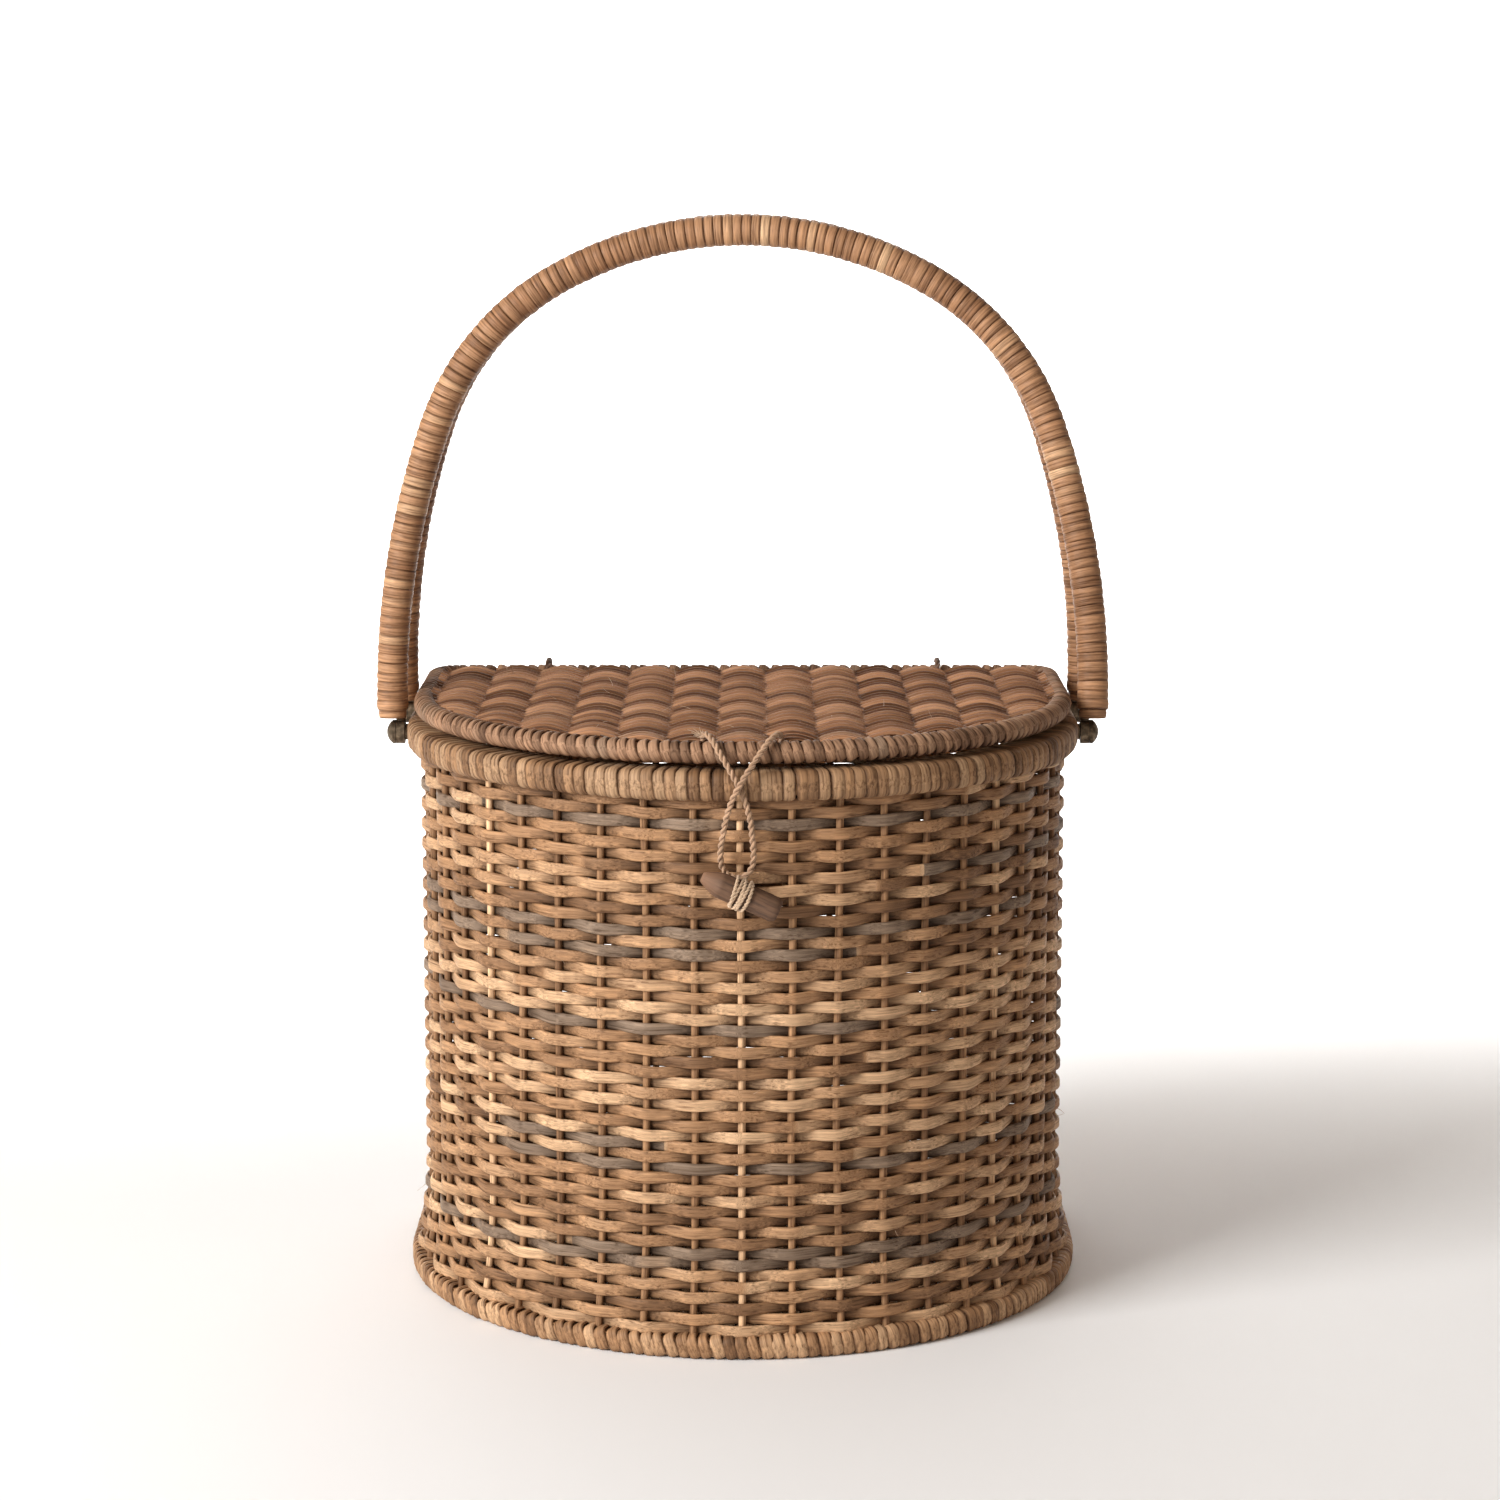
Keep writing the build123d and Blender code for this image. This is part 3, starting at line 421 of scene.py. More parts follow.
def grow(name, mesh, tree, **inputs):
    """The plain mesh object that a tree makes from a guide."""
    guide = link(bpy.data.objects.new(name + "_guide", mesh))
    modifier = guide.modifiers.new("grow", "NODES")
    modifier.node_group = tree
    for item in tree.interface.items_tree:
        if item.in_out == "INPUT" and item.name in inputs:
            modifier[item.identifier] = inputs[item.name]
    depsgraph = bpy.context.evaluated_depsgraph_get()
    evaluated = guide.evaluated_get(depsgraph)
    grown = bpy.data.meshes.new_from_object(evaluated, preserve_all_data_layers=True,
                                            depsgraph=depsgraph)
    grown.name = name
    bpy.data.objects.remove(guide)
    return link(bpy.data.objects.new(name, grown))


def chain(count, closed, start=0):
    """Edges that join count points in a row, closed to a ring if asked."""
    first = np.arange(count if closed else count - 1)
    return np.stack([first, (first + 1) % count], axis=1) + start


def smooth_noise(rng, shape, smoothing):
    """Random numbers from -1 to 1, smoothed along the last axis, which is a closed ring."""
    values = rng.standard_normal(shape)
    spectrum = np.fft.rfft(values, axis=-1)
    frequency = np.arange(spectrum.shape[-1])
    spectrum *= np.exp(-(frequency * smoothing / shape[-1]) ** 2)
    values = np.fft.irfft(spectrum, shape[-1], axis=-1)
    return values / max(np.abs(values).max(), 1e-9)


def ring_noise(rng, count, smoothing):
    """One closed ring of smoothed random numbers from -1 to 1."""
    return smooth_noise(rng, (1, count), smoothing)[0]


def plan_walk(inset, shares):
    """Points, directions and outward normals on the plan line at shares of its length."""
    half = RIM_HALF - inset
    corner = BACK_CORNER - inset
    back = SIDE_END + corner
    side = SIDE_END - PLAN_Y
    quarter = math.pi / 2
    lengths = [half * quarter, side, corner * quarter, 2 * CORNER_X, corner * quarter, side,
               half * quarter]
    ends = np.cumsum(lengths)
    distance = np.asarray(shares) * ends[-1]
    points = np.zeros((len(distance), 2))
    along = np.zeros((len(distance), 2))
    for number, (size, end) in enumerate(zip(lengths, ends)):
        chosen = (distance >= end - size) & ((distance < end) | (number == 6))
        walked = distance[chosen] - (end - size)
        if number in (0, 2, 4, 6):
            centre = {0: (0, PLAN_Y), 2: (CORNER_X, SIDE_END), 4: (-CORNER_X, SIDE_END),
                      6: (0, PLAN_Y)}[number]
            radius = half if number in (0, 6) else corner
            angle = {0: -quarter, 2: 0, 4: quarter, 6: math.pi}[number] + walked / radius
            spoke = np.stack([np.cos(angle), np.sin(angle)], 1)
            points[chosen] = np.array(centre) + radius * spoke
            along[chosen] = spoke[:, ::-1] * (-1, 1)
        else:
            start, step = {1: ((half, PLAN_Y), (0, 1)), 3: ((CORNER_X, back), (-1, 0)),
                           5: ((-half, SIDE_END), (0, -1))}[number]
            points[chosen] = np.array(start) + walked[:, None] * np.array(step)
            along[chosen] = step
    outward = np.stack([along[:, 1], -along[:, 0]], 1)
    return points, along, outward, ends[-1]


def flare_at(height):
    """How far the wall stands outwards at a height, by the curve towards its foot."""
    drop = FLARE_TOP - FOOT_HIGH[2]
    radius = (drop ** 2 + FLARE ** 2) / (2 * FLARE)
    below = np.clip(FLARE_TOP - np.asarray(height), 0, drop)
    return radius - np.sqrt(radius ** 2 - below ** 2)


def rounded_outline(width, height, rounding, per_corner):
    """Anticlockwise outline of a rounded rectangle in the XY plane."""
    points = []
    for number in range(4):
        sign_x = (1, -1, -1, 1)[number]
        sign_y = (1, 1, -1, -1)[number]
        for step in range(per_corner + 1):
            angle = math.pi / 2 * (number + step / per_corner)
            x = sign_x * (width / 2 - rounding) + rounding * math.cos(angle)
            y = sign_y * (height / 2 - rounding) + rounding * math.sin(angle)
            points.append((x, y, 0))
    return points


def outline_object(name, points):
    """A closed loop of edges, which a binding uses as its turn's outline."""
    return link(bpy.data.objects.new(name, guide_mesh(name, points, chain(len(points), True))))


def section(name):
    """A unit cross section, kept as a loop of edges: cane, strap, weaver or ply."""
    return shared("section_" + name, lambda: outline_object("section_" + name, SECTIONS[name]()))


def cane_section():
    """Binding cane: flat inside, crowned outside with two faint grooves along it."""
    grooves = {-0.17: 0.07, 0.17: 0.08}
    outer = [(0.5 - 0.50 * abs(2 * y) ** 2.6 - grooves.get(y, 0.0), y, 0)
             for y in (-0.5, -0.40, -0.26, -0.17, -0.08, 0.06, 0.17, 0.27, 0.40, 0.5)]
    return outer + [(-0.5, 0.46, 0), (-0.5, -0.46, 0)]


def strap_section():
    """Flat cane of the lid: binding cane that lies with its face upwards."""
    return [(-y, 0.5 - 0.45 * (0.5 - x) if x > -0.4 else x, 0) for x, y, _ in cane_section()]


def weaver_section():
    """Round cane of the wall: an oval with a faint groove along its face."""
    points = []
    for step in range(14):
        angle = 2 * math.pi * step / 14
        x = 0.5 * math.copysign(abs(math.cos(angle)) ** 0.62, math.cos(angle))
        y = 0.5 * math.copysign(abs(math.sin(angle)) ** 0.85, math.sin(angle))
        points.append((x * (0.90 if step in (0, 7) else 1.0), y, 0))
    return points


def round_outline(radius, count=18):
    """A ring of points in the XY plane."""
    angles = [2 * math.pi * step / count for step in range(count)]
    return [(math.cos(angle) * radius, math.sin(angle) * radius, 0) for angle in angles]


def ply_section():
    """A round ply or stake."""
    return round_outline(0.5, 10)


def tones(rng, count, spread=1.0):
    """One tone for each strand, mostly near the middle."""
    return np.clip(0.5 + spread * (rng.beta(2.0, 2.0, count) - 0.5), 0, 1)


# ---------------------------------------------------------------- materials

# Layers that tint split cane: the strength of each, then its stops of place and colour
WHITE = (1.0, 1.0, 1.0)
STREAKS = (0.95, ((0.34, (0.40, 0.35, 0.31)), (0.50, (0.92, 0.92, 0.92)),
                  (0.66, (1.32, 1.30, 1.26))))
HAIRS = (0.70, ((0.30, (0.55, 0.50, 0.46)), (0.46, WHITE)))
PATCHES = (0.55, ((0.36, (0.78, 0.74, 0.70)), (0.62, (1.10, 1.10, 1.08))))
# Painted shade along the edges of a cane's face, where the gaps between neighbouring turns and
# strands lie in shadow
EDGE_PAINTED_SHADE = ((0.60, WHITE), (0.95, (0.22, 0.17, 0.14)))
ROUND_CANE_PATCHES = ((0.35, (0.72, 0.68, 0.64)), (0.65, (1.15, 1.12, 1.08)))

# Finishes of split cane: tones as (place, colour, brightness), and what else sets each apart
# depth_shade sets how dark a strand is where it passes under another: staining plus painted shade
BINDING = {"depth_shade": 0.5, "along_scale": 50.0}
CANES = {
    "body_cane": {
        "tones": ((0.0, "body_dark"), (0.34, "body_middle"), (0.62, "body_light"),
                  (0.80, "body_light"), (0.88, "body_grey"), (1.0, "body_grey")),
        "depth_shade": 0.34, "roughness": 0.56},
    "stake_cane": {
        "tones": ((0.0, "body_dark"), (0.45, "body_middle"), (0.85, "body_light"),
                  (1.0, "body_light", 1.25)),
        "depth_shade": 1.0, "roughness": 0.6, "along_scale": 24.0, "across_scale": 9.0},
    "lid_cane": {
        "tones": ((0.0, "lid_dark"), (0.80, "lid_light"), (1.0, "border_light")),
        "depth_shade": 0.26, "roughness": 0.75, "crevice_shade": 0.9, "gloss": 0.05,
        "by_swell": True},
    "lid_binding_cane": {
        "tones": ((0.0, "border_dark"), (0.65, "border_light"), (1.0, "body_grey")),
        "roughness": 0.66, "crevice_shade": 0.75, "gloss": 0.12, **BINDING},
    "handle_cane": {
        "tones": ((0.0, "handle_dark"), (0.7, "handle_light"), (1.0, "body_light")),
        "roughness": 0.5, "crevice_shade": 0.55, **BINDING},
}
for _name, _brightness in (("rim_cane", 0.74), ("foot_cane", 0.95)):
    CANES[_name] = {
        "tones": ((0.0, "body_dark", _brightness), (0.4, "body_middle", _brightness),
                  (1.0, "body_light", _brightness)),
        "roughness": 0.58, "crevice_shade": 0.75, **BINDING}

# Finishes of twine and the colour of each
TWINES = {"twine": "twine", "lashing": "lashing", "hinge": "border_dark"}


def shade(name, brightness=1.0):
    """One of the basket's colours, made brighter or darker."""
    channels = getattr(bpy.context.scene.basket_colours, name)
    return tuple(min(1.0, brightness * channel) for channel in channels)


class Finish(Nodes):
    """A new material with its nodes and its shader."""

    def __init__(self, name):
        self.material = bpy.data.materials.new(name)
        self.material.use_nodes = True
        super().__init__(self.material.node_tree)
        self.shader = self.tree.nodes["Principled BSDF"]

    def value(self, name):
        """A number that the mesh holds at each point."""
        return self.add("ShaderNodeAttribute", attribute_name=name).outputs["Fac"]

    def where(self):
        """The place on the object, in its own coordinates."""
        return self.add("ShaderNodeTexCoord").outputs["Object"]

    def noise(self, place, scale, detail, roughness=0.5):
        inputs = {"Vector": place, "Scale": scale, "Detail": detail, "Roughness": roughness}
        return self.out("ShaderNodeTexNoise", inputs)

    def fibres(self, along_scale, across_scale, detail=6.0):
        """Noise drawn out along a strand, different on each one."""
        strand_offset = 97.0
        place = self.out("ShaderNodeCombineXYZ", {
            "X": self.math("MULTIPLY", self.value("along"), along_scale),
            "Y": self.math("MULTIPLY", self.value("across"), across_scale),
            "Z": self.math("MULTIPLY", self.value("tone"), strand_offset),
        })
        return self.noise(place, 1.0, detail, 0.62)

    def ramp(self, factor, stops):
        """A colour ramp with the given (place, colour) stops."""
        node = self.add("ShaderNodeValToRGB", {"Fac": factor})
        elements = node.color_ramp.elements
        while len(elements) < len(stops):
            elements.new(0.5)
        for element, (place, tint) in zip(elements, stops):
            element.position = place
            element.color = (*tint, 1.0)
        return node.outputs[0]

    def mixed(self, factor, first, second, kind="MULTIPLY"):
        """Two colours mixed by a blend type."""
        first, second = (value if isinstance(value, bpy.types.NodeSocket) else (*value, 1.0)
                         for value in (first, second))
        node = self.add("ShaderNodeMix", data_type="RGBA", blend_type=kind)
        self.set(node, {0: factor, 6: first, 7: second})
        return node.outputs[2]

    def ranged(self, value, low, high, **limits):
        """A value spread from low to high."""
        inputs = {"Value": value, "To Min": low, "To Max": high}
        inputs.update({key.replace("_", " "): limit for key, limit in limits.items()})
        return self.out("ShaderNodeMapRange", inputs)

    def done(self, colour, roughness, relief, depth, height, **others):
        """Gives the shader its colour, roughness, bumps and other inputs."""
        inputs = {"Strength": relief, "Distance": depth, "Height": height}
        self.set(self.shader, {"Base Color": colour, "Roughness": roughness,
                               "Normal": self.out("ShaderNodeBump", inputs)})
        self.set(self.shader, {key.replace("_", " "): value for key, value in others.items()})
        return self.material


def cane_material(name, tones, depth_shade, roughness, along_scale=28.0, across_scale=11.0,
                  crevice_shade=0.0, gloss=0.22, by_swell=False):
    """Split cane: one colour per strand, streaks, staining plus painted shade where it passes
    under, and painted shade along its edges.
    """
    finish = Finish(name)
    fibres = finish.fibres(along_scale, across_scale)
    fine = finish.fibres(along_scale * 2.5, across_scale * 3.0, detail=3.0)
    blotch = finish.noise(finish.where(), 34.0, 4.0)
    # Where the strand passes under its neighbour it is darkened: partly staining, partly painted
    # shade standing in for the shadow there
    under_stain_and_shade = (depth_shade, depth_shade * 0.92, depth_shade * 0.85)
    stained_shaded_dips = (1.0, ((0.0, under_stain_and_shade), (0.62, WHITE)))
    cane = finish.ramp(finish.value("tone"), tones)
    for factor, (strength, stops) in ((fibres, STREAKS), (fine, HAIRS), (blotch, PATCHES),
                                      (finish.value("crest"), stained_shaded_dips)):
        cane = finish.mixed(strength, cane, finish.ramp(factor, stops))
    # Painted shade along the edges of the face, standing in for the shadow in the gaps between
    # turns and strands; on the lid it is darker where narrower strands leave wider gaps
    if crevice_shade:
        from_middle = finish.math("SUBTRACT", finish.value("across"), FACE_MIDDLE)
        from_middle = finish.math("DIVIDE", finish.math("ABSOLUTE", from_middle), FACE_MIDDLE)
        edge = finish.ramp(from_middle, EDGE_PAINTED_SHADE)
        if by_swell:
            crevice_shade = finish.ranged(finish.value("swell"), crevice_shade, 0.12 * crevice_shade,
                                    From_Min=0.80, From_Max=1.06)
        cane = finish.mixed(crevice_shade, cane, edge)
    dull = finish.ranged(fibres, roughness + 0.16, roughness - 0.12)
    height = finish.math("ADD", fibres, finish.math("MULTIPLY", fine, 0.5))
    return finish.done(cane, dull, 0.34, 0.6 * MM, height, Specular_IOR_Level=gloss)


def stick_material(name, light, dark, upright=True):
    """Round cane: streaks along its length, from object coordinates."""
    finish = Finish(name)
    where = finish.where()
    stretch = (420.0, 420.0, 9.0) if upright else (9.0, 420.0, 420.0)
    place = finish.out("ShaderNodeMapping", {"Vector": where, "Scale": stretch})
    streak = finish.noise(place, 1.0, 5.0)
    tint = finish.ramp(finish.noise(where, 46.0, 3.0), ROUND_CANE_PATCHES)
    cane = finish.mixed(0.8, finish.ramp(streak, ((0.3, dark), (0.62, light))), tint)
    return finish.done(cane, 0.66, 0.3, 0.4 * MM, streak, Specular_IOR_Level=0.3)


def twine_material(name, base):
    """Plant fibre twine: hairy streaks along each ply."""
    finish = Finish(name)
    fibres = finish.fibres(160.0, 14.0)
    stops = ((0.30, shade(base, 0.42)), (0.50, shade(base)), (0.72, shade(base, 1.45)))
    return finish.done(finish.ramp(fibres, stops), 0.9, 0.6, 0.5 * MM, fibres,
                       Specular_IOR_Level=0.15, Sheen_Weight=0.25)


def peg_material():
    """Whittled wood: grain along the peg, paler on the cut end."""
    finish = Finish("peg_wood")
    fibres = finish.fibres(60.0, 22.0)
    grain = finish.ramp(fibres, ((0.32, shade("peg", 0.45)), (0.55, shade("peg")),
                                 (0.75, shade("peg", 1.35))))
    wood = finish.mixed(finish.value("crest"), grain, shade("peg", 1.9), "MIX")
    return finish.done(wood, 0.72, 0.45, 0.5 * MM, fibres)


def brass_material():
    """Aged brass: dark skin, worn bright in spots, softly dented."""
    finish = Finish("aged_brass")
    wear = finish.noise(finish.where(), 420.0, 5.0)
    metal = finish.ramp(wear, ((0.42, shade("brass")), (0.74, shade("brass", 3.2))))
    dull = finish.ranged(wear, 0.62, 0.3)
    return finish.done(metal, dull, 0.25, 0.3 * MM, wear, Metallic=0.85)


SHARED = {}
SECTIONS = {"cane": cane_section, "strap": strap_section, "weaver": weaver_section,
            "ply": ply_section}


def shared(name, make):
    """A tree, section or material that several pieces use, made once."""
    if name not in SHARED:
        SHARED[name] = make()
    return SHARED[name]


def split_cane(name):
    """One finish of split cane."""
    def make():
        look = dict(CANES[name])
        tones = [(place, shade(*colour)) for place, *colour in look.pop("tones")]
        return cane_material(name, tones, **look)
    return shared(name, make)


def twine(name="twine"):
    """One finish of twine."""
    return shared(name + "_fibre", lambda: twine_material(name + "_fibre", TWINES[name]))


# ---------------------------------------------------------------- builders

def place_piece(piece, body, slot, *nodes):
    """Puts a finished piece on its body and in place of its nodes; the slot is not used."""
    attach(piece, body)
    if nodes:
        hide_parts(*nodes)


class Guide:
    """Collects lines of points with their values and makes one guide mesh of them."""

    def __init__(self):
        self.points, self.edges, self.values, self.total = [], [], {}, 0

    def line(self, points, closed=False, **values):
        count = len(points)
        values.setdefault("side", np.zeros((count, 3)))
        for name in ("phase", "swell", "tone", "along"):
            default = 1.0 if name == "swell" else 0.0
            values[name] = np.broadcast_to(values.get(name, default), (count,))
        for name, value in values.items():
            self.values.setdefault(name, []).append(value)
        self.points.append(points)
        self.edges.append(chain(count, closed, self.total))
        self.total += count

    def mesh(self, name):
        values = {key: np.concatenate(parts) for key, parts in self.values.items()}
        return guide_mesh(name, np.concatenate(self.points), np.concatenate(self.edges), **values)


def stake_drift(settings):
    """How far each stake leans aside at 24 heights, smooth up each stake."""
    rng = np.random.default_rng(77)
    drift = smooth_noise(rng, (STAKE_COUNT, 48), 14.0)[:, :24]
    return settings.stake_wander * drift


def drift_at(drift, stations, height):
    """The stakes' lean at places between them, at one height."""
    level = np.clip(height / RIM_LOW[2], 0, 1) * (drift.shape[1] - 1)
    low = int(min(level, drift.shape[1] - 2))
    row = drift[:, low] + (drift[:, low + 1] - drift[:, low]) * (level - low)
    return np.interp(stations, np.arange(STAKE_COUNT + 1), np.append(row, row[0]))


def part_rows(heights, plan, pitch):
    """Rows spread apart round the tie of the toggle, where it pulls the weave open."""
    gap = heights - TOGGLE_PIVOT.z
    aside = (plan[:, 0] - TOGGLE_PIVOT.x) / PARTING_REACH
    across = np.clip(1 - aside ** 2, 0, 1) * (plan[:, 1] < PLAN_Y)
    push = PARTING_PUSH * across * np.exp(-np.abs(gap) / (1.6 * pitch))
    return heights + np.where(gap >= 0, push, -push)


def strand_tones(rng, count):
    """Tones round a row: a few canes one after another, some of them weathered grey."""
    strand = np.zeros(count)
    cut = int(rng.integers(0, count))
    end = cut + count
    while cut < end:
        run = int(rng.integers(SHORT_CANE, LONG_CANE))
        if rng.random() < GREY_SHARE:
            tone = rng.uniform(GREYEST_TONE, 1.0)
        else:
            tone = PLAIN_TONES * tones(rng, 1, 1.1)[0]
        strand[np.arange(cut, cut + run) % count] = tone
        cut += run
    return np.clip(strand + 0.07 * ring_noise(rng, count, 8.0), 0, 1)


def wall_rows(rng, rows, settings):
    """Guide lines of some rows of the wall's weave."""
    per_stake = 8
    count = STAKE_COUNT * per_stake
    shares = np.arange(count) / count
    stations = shares * STAKE_COUNT
    plan, _, outward, perimeter = plan_walk(STAKE_INSET, shares)
    spacing = perimeter / STAKE_COUNT
    bottom = FOOT_HIGH[2] + ROWS_ABOVE_FOOT
    top = RIM_LOW[2] - ROWS_BELOW_RIM
    pitch = (top - bottom) / (settings.rows - 1)
    drift = stake_drift(settings)
    slow = ring_noise(np.random.default_rng(5), count, 9.0)
    guide = Guide()
    for row in rows:
        height = bottom + row * pitch
        wander = 0.5 * ring_noise(rng, count, 5.0) + 0.5 * slow * math.sin(row * 0.21)
        heights = part_rows(height + settings.waviness * wander, plan, pitch)
        points = flat_and(plan + outward * flare_at(heights)[:, None], heights)
        phase = stations - drift_at(drift, stations, height) / spacing + row
        crest = np.abs(np.cos(math.pi * phase))
        swell = 0.96 + 0.07 * crest + 0.05 * ring_noise(rng, count, 4.0)
        guide.line(points, True, side=flat_and(outward, 0.0), phase=phase, swell=swell,
                   tone=strand_tones(rng, count), along=shares * perimeter + row * 0.37)
    return guide.mesh("wall_rows")


def stake_lines(settings):
    """Guide of the upright stakes, leaning as the weave lets them."""
    rng = np.random.default_rng(19)
    plan, ahead, outward, _ = plan_walk(STAKE_INSET, np.arange(STAKE_COUNT) / STAKE_COUNT)
    drift = stake_drift(settings)
    heights = np.linspace(FOOT_LOW[2] + 5.0 * MM, RIM_LOW[2] + 2.0 * MM, 26)
    guide = Guide()
    for number in range(STAKE_COUNT):
        lean = np.array([drift_at(drift, [number], height)[0] for height in heights])
        flat = (plan[number] + outward[number] * flare_at(heights)[:, None]
                + ahead[number] * lean[:, None])
        tone = rng.uniform(*((0.85, 1.0) if number % PALE_STAKE_EVERY == 0 else (0.0, 0.45)))
        swell = 1 + 0.06 * ring_noise(rng, len(heights), 6.0)
        guide.line(flat_and(flat, heights), tone=tone, along=heights + number * 0.31,
                   swell=swell)
    return guide


def plan_binding(rng, name, inset, height, turn, slant, rough, grouping=0.0):
    """Guide of a binding round the plan: one point for each turn, with its frame."""
    _, _, _, perimeter = plan_walk(0.0, [0.0])
    count = int(round(perimeter / turn))
    shares = (np.arange(count) + 0.12 * rng.uniform(-1, 1, count)) / count % 1.0
    plan, along, outward, _ = plan_walk(0.0, shares)
    straight = (along[:, 0] < -0.999) & (grouping > 0)
    cell = plan[:, 0] / RIB_SPACING
    shift = np.where(straight, -grouping * (cell - np.floor(cell) - 0.5) * turn, 0.0)
    centre = plan - outward * inset - along * shift[:, None] * np.sign(along[:, :1])
    tilt = slant + rough * 0.10 * ring_noise(rng, count, 40.0)
    tilt = tilt + rough * 0.02 * rng.standard_normal(count)
    jitter = np.abs(rng.standard_normal((count, 3)))
    stretch = 1 + rough * jitter * np.array(TURN_JITTER)
    return guide_mesh(name, flat_and(centre, height), [], axis=unit(flat_and(along, tilt)),
                      outward=flat_and(outward, 0.0), stretch=stretch, tone=tones(rng, count),
                      crest=np.ones(count))


def make_binding(name, guide, outline_points, turn, thickness, material):
    """A row of cane turns, as one plain mesh."""
    outline = outline_object(name + "_outline", outline_points)
    piece = grow(name, guide, shared("bindings", binding_tree), Outline=outline,
                 Section=section("cane"), Turn=turn, Thickness=thickness, Material=material)
    bpy.data.objects.remove(outline)
    return piece


def arch_points(step):
    """The handle's centre line from right foot to left, upright, at an even step."""
    first, second = ARCH_SIDE_ANGLE, ARCH_SIDE_ANGLE + ARCH_SHOULDER_ANGLE
    sides = (ARCH_SIDE_RADIUS * (1 - math.cos(first))
             + ARCH_SHOULDER_RADIUS * (math.cos(first) - math.cos(second)))
    crown_radius = (HANDLE_HALF - sides) / math.cos(second)
    x, z = HANDLE_HALF, ARCH_START
    points = [np.array([[x, HANDLE_END], [x, z]])]
    arcs = ((ARCH_SIDE_RADIUS, 0, first), (ARCH_SHOULDER_RADIUS, first, second),
            (crown_radius, second, math.pi / 2))
    for radius, start, end in arcs:
        angle = np.linspace(start, end, 200)
        arc = np.column_stack([x - radius * (math.cos(start) - np.cos(angle)),
                               z + radius * (np.sin(angle) - math.sin(start))])
        points.append(arc[1:])
        x, z = arc[-1]
    half = np.concatenate(points)
    whole = np.concatenate([half, half[-2::-1] * np.array([-1, 1])])
    lengths = np.concatenate([[0], np.cumsum(np.linalg.norm(np.diff(whole, axis=0), axis=1))])
    count = int(round(lengths[-1] / step))
    places = (np.arange(count) + 0.5) * lengths[-1] / count

    def point_at(distance):
        return np.column_stack([np.interp(distance, lengths, line) for line in whole.T])

    return point_at(places), unit(point_at(places + MM) - point_at(places - MM)), half[-1][1]


def handle_guide(rng, name, pivot, sign, step):
    """Guide of a handle's binding: the arch leant over from its pivots."""
    line, along, height = arch_points(step)
    count = len(line)
    front, back = (JOINTS[end + "_handle_pivot"]["pos_m"][1] for end in ("front", "back"))
    lean = math.asin((back - front - 2 * HANDLE_RADIUS - HANDLES_APART) / 2 / height)
    turn = np.array(Matrix.Rotation(sign * lean, 3, "X"))
    level = np.zeros(count)
    points = np.column_stack([line[:, 0], level, line[:, 1]]) @ turn.T + np.array(pivot)
    tilt = 0.12 + 0.06 * ring_noise(rng, count, 12.0) + 0.03 * rng.standard_normal(count)
    tip = 0.05 * ring_noise(rng, count, 14.0)
    axis = np.column_stack([along[:, 0] + tip, tilt, along[:, 1]])
    axis[0] = axis[-1] = (0, 0, 1)
    axis = unit(axis) @ turn.T
    outward = np.column_stack([along[:, 1], level, -along[:, 0]]) @ turn.T
    stretch = 1 + np.abs(rng.standard_normal((count, 3))) * np.array(HANDLE_JITTER)
    stretch[[0, -1]] = (0.90, 0.90, 1.0)
    stretch[[1, -2]] = (1.03, 1.03, 1.15)
    tone = np.clip(tones(rng, count, 0.65) + 0.25 * ring_noise(rng, count, 16.0), 0, 1)
    return guide_mesh(name, points, [], axis=axis, outward=outward, stretch=stretch, tone=tone,
                      crest=np.ones(count))


def flat_strands(rng, name, lines, spacing, phase_place, axis, gaps):
    """Guide lines of a flat weave: straight strands over and under parallel sticks."""
    guide = Guide()
    blocks = smooth_noise(rng, (64, 256), 26.0)
    for number, (start, end, fixed, height) in enumerate(lines):
        count = max(6, int(round((end - start) / spacing * POINTS_PER_SPACE)))
        run = np.linspace(start, end, count)
        points = np.zeros((count, 3))
        points[:, axis] = run
        points[:, 1 - axis] = fixed + STRAND_BOW * ring_noise(rng, count, 9.0)
        points[:, 2] = height
        phase = (run - phase_place) / spacing + number
        column = np.round((run - phase_place) / spacing).astype(int)
        block = (np.where(column % 2 == 0, 1.0, -1.0) * math.sin(number * 0.62)
                 + 1.4 * blocks[column % 64, number % 256])
        swell = 1.0 + gaps * (np.clip(block, -1.2, 0.6)) + 0.03 * ring_noise(rng, count, 5.0)
        side = np.tile(np.array([0.0, 0.0, 1.0]), (count, 1))
        guide.line(points, side=side, phase=phase, tone=tones(rng, 1)[0],
                   along=run + number * 0.41, swell=swell)
    return guide.mesh(name)


def plan_chord(inset, y):
    """Half the width of the plan at a given y, for a plan line inset from the rim."""
    half = RIM_HALF - inset
    corner = BACK_CORNER - inset
    if y < PLAN_Y:
        return math.sqrt(max(half ** 2 - (PLAN_Y - y) ** 2, 0))
    if y > SIDE_END:
        return CORNER_X + math.sqrt(max(corner ** 2 - (y - SIDE_END) ** 2, 0))
    return half


def spline_points(route):
    """Points along the smooth line that a route's control points give."""
    curve = bpy.data.curves.new("route", "CURVE")
    curve.dimensions = "3D"
    curve.resolution_u = 10
    spline = curve.splines.new("NURBS")
    spline.points.add(len(route) - 1)
    for point, place in zip(spline.points, route):
        point.co = (*place, 1.0)
    spline.order_u = 3
    spline.use_endpoint_u = True
    thing = link(bpy.data.objects.new("route", curve))
    depsgraph = bpy.context.evaluated_depsgraph_get()
    evaluated = thing.evaluated_get(depsgraph)
    mesh = bpy.data.meshes.new_from_object(evaluated, depsgraph=depsgraph)
    points = np.array([vertex.co[:] for vertex in mesh.vertices])
    bpy.data.objects.remove(thing)
    return points


